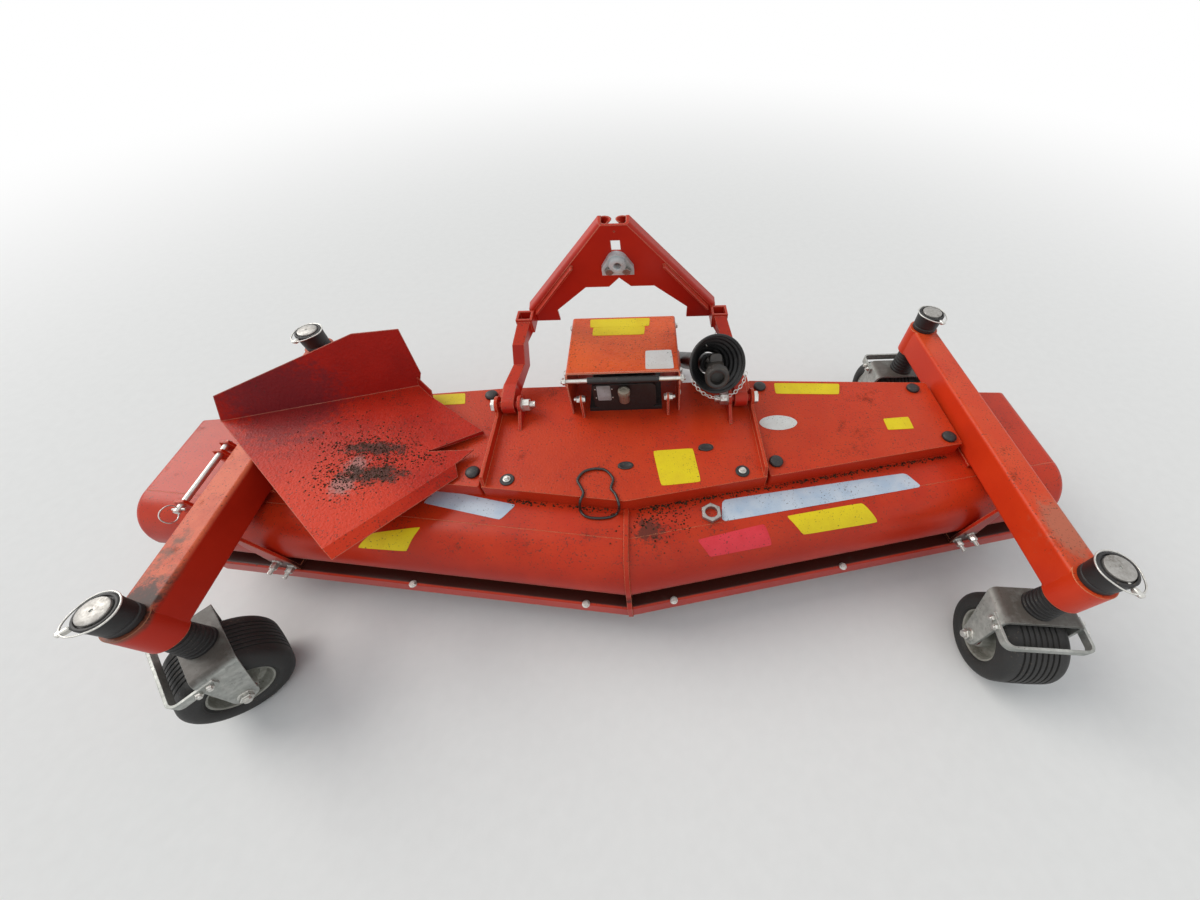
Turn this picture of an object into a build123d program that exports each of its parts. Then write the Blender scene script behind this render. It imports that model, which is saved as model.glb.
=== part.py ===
"""Five-spindle rotary mower deck with caster beams, coupling triangle and side discharge."""
from build123d import *
from math import atan2, cos, degrees, hypot, radians, sin
import os

# Frame: X across the mower, Y from the nose to the hitch, Z up from the floor. Millimetres.
# Everything is drawn with X measured from the nose, then moved so that the footprint is centred.

# Deck
deck_right = 1155.0       # nose to the right end
deck_left = 1255.0        # nose to the left end, which reaches over the discharge side
nose_y = -452.0           # front face of the rail at the middle
v_slope = 174.0 / 1104.0  # how fast the front runs back towards the ends
rear_y = 180.0
rear_slope = 0.0625       # how fast the rear edge runs forward towards the ends
deck_top = 300.0
skirt_bottom = 100.0
sheet = 4.0               # deck sheet
end_round = 22.0          # rounding of the upright ends
spindle_bore = 36.0       # hole in the deck over each spindle

# Hood, the rounded front and ends of the deck
hood_lap = 18.0           # hood edge behind the rail's face
hood_radius = 97.0
slot_top = 197.0          # lower edge of the hood
rail_height = 50.0
rail_flange = 40.0
rail_end = deck_right - 30.0
fold = 7.0                # outer radius of a folded sheet edge

# Raised belt covers and centre plate
cover_top = 342.0
cover_sheet = 3.0
cover_nose_y = -256.0
cover_setback = 6.0       # cover edge in front of the deck's rear edge
centre_half = 354.0
cover_seam = 8.0          # between the centre plate and a belt cover
cover_inner = centre_half + cover_seam
cover_outer = 888.0
tail_half = 166.4         # centre plate behind the deck, under the gearbox guard
rib_sheet = 8.0
rib_height = 24.0
knob_d = 34.0
knob_height = 11.0
drain_d = 12.0

# Caster beams
stem_x = 935.0
front_stem_y = -512.0
rear_stem_y = 309.0
beam_w = 72.0
beam_h = 85.0
beam_wall = 4.0
beam_round = 9.0
beam_z = 310.0
sleeve_d = 80.0
stem_d = 40.0
stem_gap = 0.05           # running gap round a stem, on the radius
face_gap = 0.5            # gap between turning faces

# Casters
tyre_r = 105.0
tyre_w = 150.0
tyre_round = 28.0
rim_r = 60.0
rim_w = 136.0
axle_d = 20.0
axle_gap = 0.05
trail = 32.0
fork_sheet = 8.0
fork_clear = 17.0         # over the tyre
fork_top = 2 * tyre_r + fork_clear + fork_sheet
fork_half = 42.0          # half the length of the fork's top plate
cheek_gap = 6.0
cheek_eye = 24.0
spacer_d = 60.0
spacer_lip = 72.0
cap_d = 50.0
stem_top = 450.0
loop_reach = 56.0         # inner face of the guard bar beyond the axle
loop_low = 2 * tyre_r - 8.0
loop_high = loop_low + 20.0
loop_sheet = 6.0
loop_round = 20.0
headings = {
    "front_right": 174.0,
    "front_left": 136.0,
    "rear_right": 0.0,
    "rear_left": 0.0,
}

# Rotors
rotor_r = 204.0
rotor_z = 122.0
blade_w = 60.0
blade_t = 6.0
lift = 13.0               # upturned tails of the blade
shaft_d = 30.0
shaft_gap = 0.05
rotor_step = 404.0        # spacing across, a little under two radii so that the cuts overlap
rotor_front = -171.5      # the two inner rotors stand forward, clear of their neighbours
rotor_rear = -85.5
rotor_spots = {
    "centre": (0.0, rotor_rear),
    "inner_left": (-rotor_step, rotor_front),
    "inner_right": (rotor_step, rotor_front),
    "outer_left": (-2 * rotor_step, rotor_rear),
    "outer_right": (2 * rotor_step, rotor_rear),
}
housing_body = 70.0
housing_d = 96.0
housing_drop = 92.0       # housing below the deck sheet

# Gearbox and its guard
gearbox_y = 135.0
gearbox_w = 170.0
gearbox_d = 176.0
gearbox_top = 438.0
gearbox_round = 16.0
boss_len = 20.0
input_d = 35.0
input_neck = 30.0
input_len = 75.0
input_step = 3.0          # neck showing between the boss and the input shaft's end
input_z = 396.0
guard_half = 150.0
guard_front = 60.0
guard_brow = 20.0         # side walls reach this far in front of the guard's top
guard_rear = 300.0
guard_top = 470.0
guard_sheet = 4.0
guard_lug_z = 398.0
guard_lug_r = 11.0

# Hitch
hinge_y = 50.0
hinge_z = 372.0
pin_d = 20.0
pin_gap = 0.1
lug_sheet = 8.0
arm_w = 34.0
arm_gap = 10.0            # beside an arm, to the rib outside it and to the lug inside it
arm_outer = centre_half - rib_sheet - arm_gap
arm_inner = arm_outer - arm_w
lug_inner = arm_inner - arm_gap - lug_sheet
arm_eye = 22.0
arm_sheet = 6.0
base_y = 279.0
base_z = 518.0
apex_y = 213.0
apex_z = 768.0
base_half = 262.0
apex_half = 36.0
socket = 44.0             # outer width of the square sockets under the triangle
socket_x = base_half - 14.0
leg_w = 80.0
foot_drop = 40.0          # legs below the triangle's base line
hitch_sheet = 6.0
lip_depth = 26.0
lip_round = 12.0

# Drive shaft
bell_r = 76.0
bell_len = 92.0
tube_r = 27.0
head = (248.0, 61.0, 484.0)
tail = (123.0, 618.0, 62.0)


def v_y(x, start):
    """Y of a line that starts at the middle and runs back with the V."""
    return start + v_slope * abs(x)


def rear_line(x, start):
    """Y of a line that starts at the middle and runs forward towards the ends."""
    return start - rear_slope * abs(x)


def block(x0, x1, y0, y1, z0, z1):
    """Box between two corners."""
    return Pos((x0 + x1) / 2, (y0 + y1) / 2, (z0 + z1) / 2) * Box(x1 - x0, y1 - y0, z1 - z0)


def rod(d, start, end):
    """Round bar between two points."""
    run = Vector(*end) - Vector(*start)
    return Plane(origin=start, z_dir=run) * extrude(Circle(d / 2), run.length)


def polygon(points):
    """Flat face with straight edges."""
    return make_face(Polyline(*points, close=True))


def slab(points, z0, z1):
    """Flat plate with a polygon outline."""
    return Pos(0, 0, z0) * extrude(polygon(points), z1 - z0)


def along_x(face, x0, x1):
    """Section drawn in Y and Z, carried from x0 to x1."""
    return Pos(x0, 0, 0) * extrude(Plane.YZ * face, x1 - x0, dir=(1, 0, 0))


def along_y(face, y0, y1):
    """Section drawn in X and Z, carried from y0 to y1."""
    return Pos(0, y0, 0) * extrude(Plane.XZ * face, y1 - y0, dir=(0, 1, 0))


def folded(points, thickness, radius, side=Side.RIGHT):
    """Section of a folded sheet whose outer face follows the points."""
    return make_face(offset(FilletPolyline(*points, radius=radius), amount=thickness, side=side))


def both_sides(piece):
    """A piece and its twin on the other side."""
    return Part() + [piece, mirror(piece, Plane.YZ)]


def swept_v(face, x0, x1):
    """A Y-Z section carried outwards along the V on the right side."""
    run = Vector(x1 - x0, (x1 - x0) * v_slope, 0)
    return extrude(Pos(x0, v_slope * x0, 0) * (Plane.YZ * face), amount=run.length, dir=run)


nodes = {}

# Deck shell: the rolled front and the flat top are one hollow form with upright ends.
hood_y = nose_y + hood_lap
crown_z = deck_top - hood_radius
v_stretch = hypot(1, v_slope)
v_run = Vector(1, v_slope, 0).normalized()
across_v = Plane(origin=(0, hood_y, 0), x_dir=(-v_slope, 1, 0), z_dir=v_run)
flat_front = hood_y + hood_radius * v_stretch
rail_z = skirt_bottom + rail_height
end_y = v_y(rail_end, nose_y)


def rolled_form(reach, inset, low):
    """Solid under the outer or inner face of the right side, as far as the deck's end."""
    radius = hood_radius - inset
    top = deck_top - inset
    end = reach - inset
    depth = 2 * (rear_y - hood_y)
    flats = Polyline((hood_radius, top), (depth, top), (depth, low), (inset, low), (inset, crown_z))
    roll = CenterArc((hood_radius, crown_z), radius, 90, 90)
    form = extrude(across_v * make_face(flats.edges() + roll.edges()), amount=reach + depth, dir=v_run)
    rear = rear_y - inset
    plan = [(0, 2 * nose_y), (end, 2 * nose_y), (end, rear_line(end, rear)), (0, rear)]
    form &= slab(plan, low, deck_top)
    edges = form.edges().filter_by(lambda e: e.center().X > end - 0.01 and e.center().Z > low + 0.1)
    edges = edges.filter_by(lambda e: e.center().Y < rear_line(end, rear) - 1)
    return fillet(edges, end_round - inset)


def deck_side(reach):
    """Flat pan, rolled hood and skirts of the right side for a deck that reaches so far."""
    shell = rolled_form(reach, 0, slot_top) - rolled_form(reach, sheet, slot_top - 1)
    flat_plan = [
        (0, flat_front),
        (reach + 1, v_y(reach + 1, flat_front)),
        (reach + 1, rear_y + sheet),
        (0, rear_y + sheet),
    ]
    hood = shell - slab(flat_plan, 0, 2 * deck_top)
    pan = shell & slab(flat_plan, deck_top - sheet, 2 * deck_top)
    skirts = shell & slab(flat_plan, 0, deck_top - sheet)
    rear_plan = [
        (0, rear_y - sheet),
        (rail_end, rear_line(rail_end, rear_y - sheet)),
        (rail_end, rear_line(rail_end, rear_y)),
        (0, rear_y),
    ]
    skirts += slab(rear_plan, skirt_bottom, slot_top)
    wall_face = [
        (end_y + sheet, skirt_bottom),
        (rear_line(rail_end, rear_y), skirt_bottom),
        (rear_line(rail_end, rear_y), slot_top),
        (end_y + 4 * rail_flange, slot_top),
        (end_y + 2 * rail_flange, rail_z),
        (end_y + sheet, rail_z),
    ]
    skirts += along_x(polygon(wall_face), rail_end - sheet, rail_end)
    overhang = rolled_form(reach, sheet, slot_top)
    skirts += overhang & block(rail_end - sheet, reach, nose_y, rear_y, slot_top, slot_top + sheet)
    return pan, hood, skirts


pan_right, hood_right, skirt_right = deck_side(deck_right)
pan_left, hood_left, skirt_left = [mirror(piece, Plane.YZ) for piece in deck_side(deck_left)]
deck_pan = pan_right + pan_left
for x, y in rotor_spots.values():
    deck_pan -= Pos(x, y, deck_top) * Cylinder(spindle_bore / 2, 4 * sheet)

# Rail under the slot, an angle with a rounded fold.
rail_face = folded(
    [(nose_y, skirt_bottom), (nose_y, rail_z), (nose_y + rail_flange, rail_z)], sheet, fold
)
front_rail = both_sides(swept_v(rail_face, 0, rail_end - sheet))

# Upright plate at the nose, standing a little proud of the hood.
nose_t = 12.0
nose_proud = 7.0
crown_y = hood_y + hood_radius
nose_line = Polyline(
    (crown_y - hood_radius - nose_proud, crown_z),
    (nose_y - 3, rail_z + 8),
    (nose_y - 3, skirt_bottom),
    (nose_y + rail_flange, skirt_bottom),
    (nose_y + rail_flange + 30, rail_z),
    (crown_y, deck_top - hood_radius / 3),
    (cover_nose_y, deck_top),
    (cover_nose_y, deck_top + nose_proud),
    (crown_y, deck_top + nose_proud),
)
nose_arc = CenterArc((crown_y, crown_z), hood_radius + nose_proud, 90, 90)
nose_plate = along_x(make_face(nose_line.edges() + nose_arc.edges()), -nose_t / 2, nose_t / 2)
nodes["nose_plate"] = nose_plate
nodes["deck_pan"] = deck_pan - nose_plate
nodes["hood_right"] = hood_right - nose_plate
nodes["hood_left"] = hood_left - nose_plate
nodes["skirt_right"] = skirt_right
nodes["skirt_left"] = skirt_left
nodes["front_rail"] = front_rail - nose_plate


# Belt covers: hollow trays standing on the deck.
def cover_form(inset, lid):
    """Right belt cover moved in by inset, up to the lid."""
    front = cover_nose_y + inset
    rear = rear_y - cover_setback - inset
    left = cover_inner + inset
    right = cover_outer - inset
    points = [
        (left, v_y(left, front)),
        (right, v_y(right, front)),
        (right, rear_line(right, rear)),
        (left, rear_line(left, rear)),
    ]
    return slab(points, deck_top, lid)


cover_right = cover_form(0, cover_top)
cover_right = fillet(cover_right.edges().filter_by(Axis.Z), 6)
cover_right -= cover_form(cover_sheet, cover_top - cover_sheet)
nodes["belt_cover_right"] = cover_right
nodes["belt_cover_left"] = mirror(cover_right, Plane.YZ)
knob_profile = Polyline(
    (0, 0),
    (knob_d / 2, 0),
    (knob_d / 2, knob_height * 0.55),
    (knob_d / 2 - 4, knob_height),
    (0, knob_height),
    close=True,
)
knob = revolve(Plane.XZ * make_face(knob_profile), Axis.Z)
knob_spots = [
    (cover_inner + 22, v_y(cover_inner + 22, cover_nose_y) + 40),
    (cover_outer - 28, v_y(cover_outer - 28, cover_nose_y) + 26),
    (cover_outer - 50, rear_line(cover_outer - 50, rear_y) - 34),
    (cover_inner + 30, rear_line(cover_inner + 30, rear_y) - 34),
]
knobs = [Pos(x, y, cover_top) * knob for x, y in knob_spots]
nodes["cover_knobs"] = both_sides(Part() + knobs)


# Centre plate with two ribs that rise into the outer hinge lugs.
def centre_form(inset, lid):
    """Centre plate moved in by inset, up to the lid."""
    half = centre_half - inset
    tail_w = tail_half - inset
    front = cover_nose_y + inset
    rear = rear_line(centre_half, rear_y - cover_setback) - inset
    points = [
        (-half, v_y(half, front)),
        (0, front),
        (half, v_y(half, front)),
        (half, rear),
        (tail_w, rear),
        (tail_w, guard_rear - inset),
        (-tail_w, guard_rear - inset),
        (-tail_w, rear),
        (-half, rear),
    ]
    return slab(points, deck_top, lid)


centre = centre_form(0, cover_top) - centre_form(sheet, cover_top - sheet)
for x, y in [(-14, -152), (14, -148), (196, -104), (224, -96)]:
    centre -= Pos(x, y, cover_top) * Cylinder(drain_d / 2, 4 * sheet)
lug_reach = arm_eye + 4
lug_face = polygon(
    [
        (hinge_y - 70, cover_top),
        (hinge_y + 50, cover_top),
        (hinge_y + lug_reach, hinge_z),
        (hinge_y - lug_reach, hinge_z),
    ]
)
lug_face += Pos(hinge_y, hinge_z) * Circle(lug_reach)
lug_face -= Pos(hinge_y, hinge_z) * Circle(pin_d / 2)
rib_front = v_y(centre_half, cover_nose_y) + 3
rib_face = polygon(
    [
        (rib_front, cover_top),
        (rear_line(centre_half, rear_y) - 2 * cover_setback, cover_top),
        (rear_line(centre_half, rear_y) - 2 * cover_setback, cover_top + rib_height),
        (rib_front + 10, cover_top + rib_height),
    ]
)
rib_face += lug_face
rib_face -= Pos(hinge_y, hinge_z) * Circle(pin_d / 2)
nodes["centre_plate"] = centre + both_sides(along_x(rib_face, centre_half - rib_sheet, centre_half))
lug_right = along_x(lug_face, lug_inner, lug_inner + lug_sheet)
pin_right = rod(pin_d, (lug_inner, hinge_y, hinge_z), (centre_half, hinge_y, hinge_z))
nodes["hinge_brackets"] = both_sides(lug_right + pin_right)

# Gearbox with a foot, rounded case and a bored boss towards the hitch.
case_y0 = gearbox_y - gearbox_d / 2
case_y1 = gearbox_y + gearbox_d / 2
case_low = cover_top + 12
case_face = Pos(0, (case_low + gearbox_top) / 2) * RectangleRounded(
    gearbox_w, gearbox_top - case_low, gearbox_round
)
foot = block(-gearbox_w / 2 - 16, gearbox_w / 2 + 16, case_y0, case_y1 + 12, cover_top, case_low)
boss_end = case_y1 + boss_len
boss = rod(70, (0, case_y1, input_z), (0, boss_end, input_z))
bore_d = input_neck + 2 * shaft_gap
bore = rod(bore_d, (0, gearbox_y, input_z), (0, boss_end + 1, input_z))
nodes["gearbox"] = foot + along_y(case_face, case_y0, case_y1) + boss - bore
plug_y = case_y0 - 18
plug_z = gearbox_top - 14
filler_neck = Pos(0, plug_y, plug_z - 13) * Cylinder(14, 26)
filler_neck += block(-12, 12, plug_y, case_y0, plug_z - 26, plug_z - 8)
nodes["gearbox"] += filler_neck
nodes["filler_plug"] = Pos(0, plug_y, plug_z) * extrude(RegularPolygon(16, 12), 12)
neck = rod(input_neck, (0, gearbox_y + face_gap, input_z), (0, boss_end + input_step, input_z))
end_start = boss_end + input_step
nodes["input_shaft"] = neck + rod(input_d, (0, end_start, input_z), (0, end_start + input_len, input_z))

# Guard over the gearbox: sheet folded over, on feet, with two lugs and a rod in front.
guard_face = folded(
    [(-guard_half, cover_top), (-guard_half, guard_top), (guard_half, guard_top), (guard_half, cover_top)],
    guard_sheet,
    fold,
)
wall_front = guard_front - guard_brow
guard_side = polygon(
    [
        (wall_front, cover_top),
        (wall_front, guard_top - 1.5 * guard_brow),
        (guard_front, guard_top),
        (guard_rear, guard_top),
        (guard_rear, cover_top),
    ]
)
guard = along_y(guard_face, wall_front, guard_rear)
guard &= along_x(guard_side, -guard_half, guard_half)
guard_lug_face = polygon(
    [
        (wall_front - 18, cover_top),
        (wall_front + 12, cover_top),
        (wall_front - 3 + guard_lug_r, guard_lug_z),
        (wall_front - 3 - guard_lug_r, guard_lug_z),
    ]
)
guard_lug_face += Pos(wall_front - 3, guard_lug_z) * Circle(guard_lug_r)
guard_lug = along_x(guard_lug_face, guard_half - 36, guard_half - 30)
nodes["gearbox_guard"] = guard + both_sides(guard_lug)
rod_y = guard_front - guard_brow / 2
rod_z = guard_top - 19
guard_bar = rod(12, (-guard_half - 12, rod_y, rod_z), (guard_half + 12, rod_y, rod_z))
nodes["gearbox_guard"] -= guard_bar
nodes["guard_rod"] = guard_bar

# Caster beams with a sleeve at each end.
beam_mid = beam_z + beam_h / 2
outer_face = Pos(stem_x, beam_mid) * RectangleRounded(beam_w, beam_h, beam_round)
inner_face = Pos(stem_x, beam_mid) * RectangleRounded(
    beam_w - 2 * beam_wall, beam_h - 2 * beam_wall, beam_round - beam_wall
)
beam = along_y(outer_face, front_stem_y, rear_stem_y) - along_y(inner_face, front_stem_y, rear_stem_y)
for y in (front_stem_y, rear_stem_y):
    beam += Pos(stem_x, y, beam_mid) * Cylinder(sleeve_d / 2, beam_h)
for y in (front_stem_y, rear_stem_y):
    beam -= Pos(stem_x, y, beam_mid) * Cylinder(stem_d / 2 + stem_gap, beam_h + 2)
nodes["beam_right"] = beam
nodes["beam_left"] = mirror(beam, Plane.YZ)

# Gussets from the beams to the rail, and saddles between beam and deck.
gusset_x = stem_x - beam_w / 2
gusset_w = 60.0
gusset_face = polygon(
    [
        (-gusset_w, rail_z),
        (0, rail_z),
        (0, beam_z),
        (-gusset_w / 3, beam_z),
        (-gusset_w, rail_z + 30),
    ]
)
gusset = along_y(gusset_face, 0, 8) + block(-gusset_w, 0, 8, 30, rail_z, rail_z + 8)
gusset_x1 = stem_x - 4
gusset = Pos(gusset_x1, v_y(gusset_x1, nose_y) + 6, 0) * (Rot(0, 0, degrees(atan2(v_slope, 1))) * gusset)
saddles = Part()
for y in (-130, 70):
    saddles += block(stem_x - beam_w / 2, stem_x + beam_w / 2, y - 35, y + 35, deck_top, beam_z)
nodes["beam_braces"] = both_sides(gusset + saddles)


# Casters.
def turned(piece, x, y, heading):
    """Set a caster piece at its stem and turn it about the stem."""
    return Pos(x, y, 0) * (Rot(0, 0, heading) * piece)


cheek_x = tyre_w / 2 + cheek_gap
fork_x = cheek_x + fork_sheet
axle_low = tyre_r - cheek_eye
u_face = folded(
    [(-fork_x, axle_low), (-fork_x, fork_top), (fork_x, fork_top), (fork_x, axle_low)],
    fork_sheet,
    2 * fork_sheet,
)
side_face = polygon(
    [
        (-fork_half, fork_top),
        (fork_half, fork_top),
        (trail + cheek_eye, tyre_r),
        (trail - cheek_eye, tyre_r),
    ]
)
side_face += Pos(trail, tyre_r) * Circle(cheek_eye)
fork = along_y(u_face, -fork_half, trail + cheek_eye) & along_x(side_face, -fork_x, fork_x)
fork += Pos(0, 0, (fork_top + stem_top) / 2) * Cylinder(stem_d / 2, stem_top - fork_top)
fork += Pos(0, 0, stem_top) * Cylinder(cap_d / 2, 5)
fork += rod(axle_d, (-fork_x - 8, trail, tyre_r), (fork_x + 8, trail, tyre_r))
loop_x = fork_x + loop_sheet
loop_y = trail + loop_reach + loop_sheet
loop_face = folded(
    [(-loop_x, fork_half / 3), (-loop_x, loop_y), (loop_x, loop_y), (loop_x, fork_half / 3)],
    loop_sheet,
    loop_round,
)
fork += Pos(0, 0, loop_low) * extrude(loop_face, loop_high - loop_low)

low_end = beam_z - face_gap
top_start = beam_z + beam_h + face_gap
top_end = stem_top - 2.5
lower_spacer = Pos(0, 0, (fork_top + low_end) / 2) * Cylinder(spacer_d / 2, low_end - fork_top)
upper_spacer = Pos(0, 0, (top_start + top_end) / 2) * Cylinder(spacer_d / 2, top_end - top_start)
upper_spacer += Pos(0, 0, top_end - 6) * Cylinder(spacer_lip / 2, 12)
spacers = lower_spacer + upper_spacer - Pos(0, 0, stem_top) * Cylinder(stem_d / 2, stem_top)

tyre_face = polygon(
    [
        (rim_r, -tyre_w / 2 + 12),
        (rim_r + 8, -tyre_w / 2 + 3),
        (tyre_r - tyre_round, -tyre_w / 2),
        (tyre_r - tyre_round / 2, -tyre_w / 2 + 4),
        (tyre_r - 4, -tyre_w / 2 + tyre_round / 2),
        (tyre_r, -tyre_w / 2 + tyre_round),
        (tyre_r, tyre_w / 2 - tyre_round),
        (tyre_r - 4, tyre_w / 2 - tyre_round / 2),
        (tyre_r - tyre_round / 2, tyre_w / 2 - 4),
        (tyre_r - tyre_round, tyre_w / 2),
        (rim_r + 8, tyre_w / 2 - 3),
        (rim_r, tyre_w / 2 - 12),
    ]
)
bore_r = axle_d / 2 + axle_gap
rim_half = [
    (bore_r, rim_w / 2 + 10),
    (28, rim_w / 2 + 10),
    (28, rim_w / 2 - 8),
    (rim_r - 10, rim_w / 2 - 26),
    (rim_r - 5, rim_w / 2 - 2),
    (rim_r, rim_w / 2 - 2),
]
rim_face = polygon(rim_half + [(r, -w) for r, w in rim_half[::-1]])
laid = Pos(0, trail, tyre_r) * Rot(0, 90, 0)
tyre = laid * revolve(Plane.XZ * tyre_face, Axis.Z)
rim = laid * revolve(Plane.XZ * rim_face, Axis.Z)

stems = {
    "front_right": (stem_x, front_stem_y),
    "front_left": (-stem_x, front_stem_y),
    "rear_right": (stem_x, rear_stem_y),
    "rear_left": (-stem_x, rear_stem_y),
}
for where, (x, y) in stems.items():
    heading = headings[where]
    nodes["fork_" + where] = turned(fork, x, y, heading)
    nodes["spacers_" + where] = turned(spacers, x, y, heading)
    nodes["tyre_" + where] = turned(tyre, x, y, heading)
    nodes["rim_" + where] = turned(rim, x, y, heading)

# Spindle housings hang through the deck; each rotor turns in one.
housing_low = deck_top - sheet - housing_drop
bore_r = shaft_d / 2 + shaft_gap
housing_face = polygon(
    [
        (bore_r, housing_low),
        (housing_body / 2 - 4, housing_low),
        (housing_body / 2, housing_low + 30),
        (housing_body / 2, deck_top - sheet - 12),
        (housing_d / 2, deck_top - sheet - 12),
        (housing_d / 2, deck_top - sheet),
        (bore_r, deck_top - sheet),
    ]
)
housing = revolve(Plane.XZ * housing_face, Axis.Z)
housings = [Pos(x, y, 0) * housing for x, y in rotor_spots.values()]
nodes["spindle_housings"] = Part() + housings

# Blade with swept tips, its hub and its shaft.
tip = rotor_r - 4
blade_half = [
    (tip * 0.62, blade_w / 2),
    (tip, blade_w / 2 - 12),
    (tip, -blade_w / 2 + 6),
    (tip * 0.62, -blade_w / 2),
]
blade = slab(blade_half + [(-x, -y) for x, y in blade_half], rotor_z - blade_t / 2, rotor_z + blade_t / 2)
for side in (-1, 1):
    lift_face = polygon(
        [(side * tip * 0.62, 0), (side * tip, 0), (side * tip, lift), (side * tip * 0.7, lift)]
    )
    back = -side * (blade_w / 2 - 8)
    blade += Pos(0, 0, rotor_z + blade_t / 2) * along_y(lift_face, min(back, back + side * 4), max(back, back + side * 4))
rotor_face = polygon(
    [
        (0, rotor_z - 15),
        (16, rotor_z - 15),
        (16, rotor_z - blade_t / 2),
        (34, rotor_z - blade_t / 2),
        (34, rotor_z + 20),
        (shaft_d / 2, rotor_z + 24),
        (shaft_d / 2, deck_top),
        (0, deck_top),
    ]
)
rotor = revolve(Plane.XZ * rotor_face, Axis.Z) + blade
for where, (x, y) in rotor_spots.items():
    nodes["rotor_" + where] = Pos(x, y, 0) * rotor

# Coupling triangle, drawn flat and then leant: x across, y up the triangle, z towards the nose.
rise = hypot(apex_z - base_z, base_y - apex_y)
lean = Plane(
    origin=(0, base_y, base_z),
    x_dir=(1, 0, 0),
    z_dir=(0, base_z - apex_z, apex_y - base_y),
)
web_low = rise * 0.31
web_half = 90.0
notch_half = 29.0
plate_out = base_half - lip_round
plate_top = apex_half - lip_round / 2
half_outline = [
    (0, web_low + notch_half),
    (notch_half, web_low),
    (web_half, web_low),
    (base_half - leg_w, 0),
    (base_half - leg_w, -foot_drop),
    (base_half, -foot_drop),
    (base_half, -lip_round),
    (plate_out, 0),
    (plate_top, rise),
    (apex_half / 2, rise),
    (0, rise - apex_half / 2),
]
outline = half_outline + [(-x, y) for x, y in half_outline[-2:0:-1]]
triangle = slab(outline, 0, hitch_sheet)
slot_w = 22.0
slot_y = rise * 0.79
triangle -= block(-slot_w / 2, slot_w / 2, slot_y - 15, slot_y + 15, -1, hitch_sheet + 1)

# Rolled lips down the outer edges, swept along the legs and cut level at both ends.
leg_run = Vector(apex_half - base_half, rise, 0)
leg_plane = Plane(origin=(base_half, 0, 0), x_dir=(rise, base_half - apex_half, 0), z_dir=leg_run)
lip_face = folded(
    [(-3 * lip_round, -hitch_sheet), (0, -hitch_sheet), (0, lip_depth)],
    hitch_sheet,
    lip_round,
    Side.LEFT,
)
lip = leg_plane * (Pos(0, 0, -lip_depth) * extrude(lip_face, leg_run.length + 2 * lip_depth))
lip &= block(0, base_half, 0, rise, -2 * lip_depth, 2 * lip_depth)
foot_lip = block(base_half - hitch_sheet, base_half, -foot_drop, 0, -lip_depth, 0)
fin_points = [(112, rise * 0.58), (118, rise * 0.58), (base_half - 20, 0), (base_half - 26, 0)]
fin = slab(fin_points, hitch_sheet, hitch_sheet + 14)
triangle += both_sides(lip + foot_lip + fin)
nodes["hitch_triangle"] = lean * triangle

# Latch: a rounded block with a hole and two bolt seats.
latch_y = rise * 0.5
latch_face = make_hull(
    polygon([(-40, latch_y), (40, latch_y), (40, latch_y + 20), (-40, latch_y + 20)]).edges()
    + (Pos(0, latch_y + 36) * Circle(26)).edges()
)
latch_face -= Pos(0, latch_y + 34) * Circle(9)
latch = Pos(0, 0, hitch_sheet) * extrude(latch_face, 12)
latch += Pos(0, 0, hitch_sheet + 12) * extrude(
    Pos(0, latch_y + 34) * (Circle(18) - Circle(9)), 4
)
nodes["hitch_latch"] = lean * latch

# Arms: folded channels, open below, lofted through stations from the hinge up to the sockets.
arm_stations = [
    # top_y, top_z, low_y, low_z, share of the way in to the socket inside, and outside
    (hinge_y + 4, 394, hinge_y + 4, 350, 0, 0),
    (104, 400, 118, 358, 0, 0),
    (158, 424, 196, 388, 22 / 48, 24 / 48),
    (176, 476, 220, 452, 30 / 48, 32 / 48),
    (228, 512, 228, 478, 1, 1),
]
socket_inner = socket_x + arm_sheet
socket_outer = socket_inner + arm_w
shells = []
for inset, drop in ((0, 0), (arm_sheet, 60)):
    sections = []
    for top_y, top_z, low_y, low_z, inner_share, outer_share in arm_stations:
        inner_x = arm_inner + inner_share * (socket_inner - arm_inner)
        outer_x = arm_outer + outer_share * (socket_outer - arm_outer)
        fall = Vector(0, low_y - top_y, low_z - top_z).normalized()
        high = Vector(0, top_y, top_z) + fall * inset
        low = Vector(0, low_y, low_z) + fall * drop
        left = inner_x + inset
        right = outer_x - inset
        corners = [
            (left, high.Y, high.Z),
            (right, high.Y, high.Z),
            (right, low.Y, low.Z),
            (left, low.Y, low.Z),
        ]
        sections.append(make_face(Polyline(*corners, close=True)))
    shells.append(loft(sections, ruled=True))
arm = shells[0] - shells[1]
arm += along_x(Pos(hinge_y, hinge_z) * Circle(arm_eye), arm_inner, arm_outer)
socket_y = arm_stations[-1][0]
socket_low = base_z - foot_drop
arm += block(socket_x, socket_x + socket, socket_y, 2 * socket_y, socket_low, base_z)
arm -= block(
    socket_x + arm_sheet,
    socket_x + socket - arm_sheet,
    socket_y + arm_sheet,
    socket_y + socket - arm_sheet,
    socket_low + arm_sheet,
    base_z + 1,
)
arm -= lean * block(0, 2 * base_half, -rise, rise, -2 * base_half, hitch_sheet)
arm -= rod(pin_d + 2 * pin_gap, (arm_inner - 1, hinge_y, hinge_z), (arm_outer + 1, hinge_y, hinge_z))
nodes["hitch_arms"] = both_sides(arm)

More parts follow.
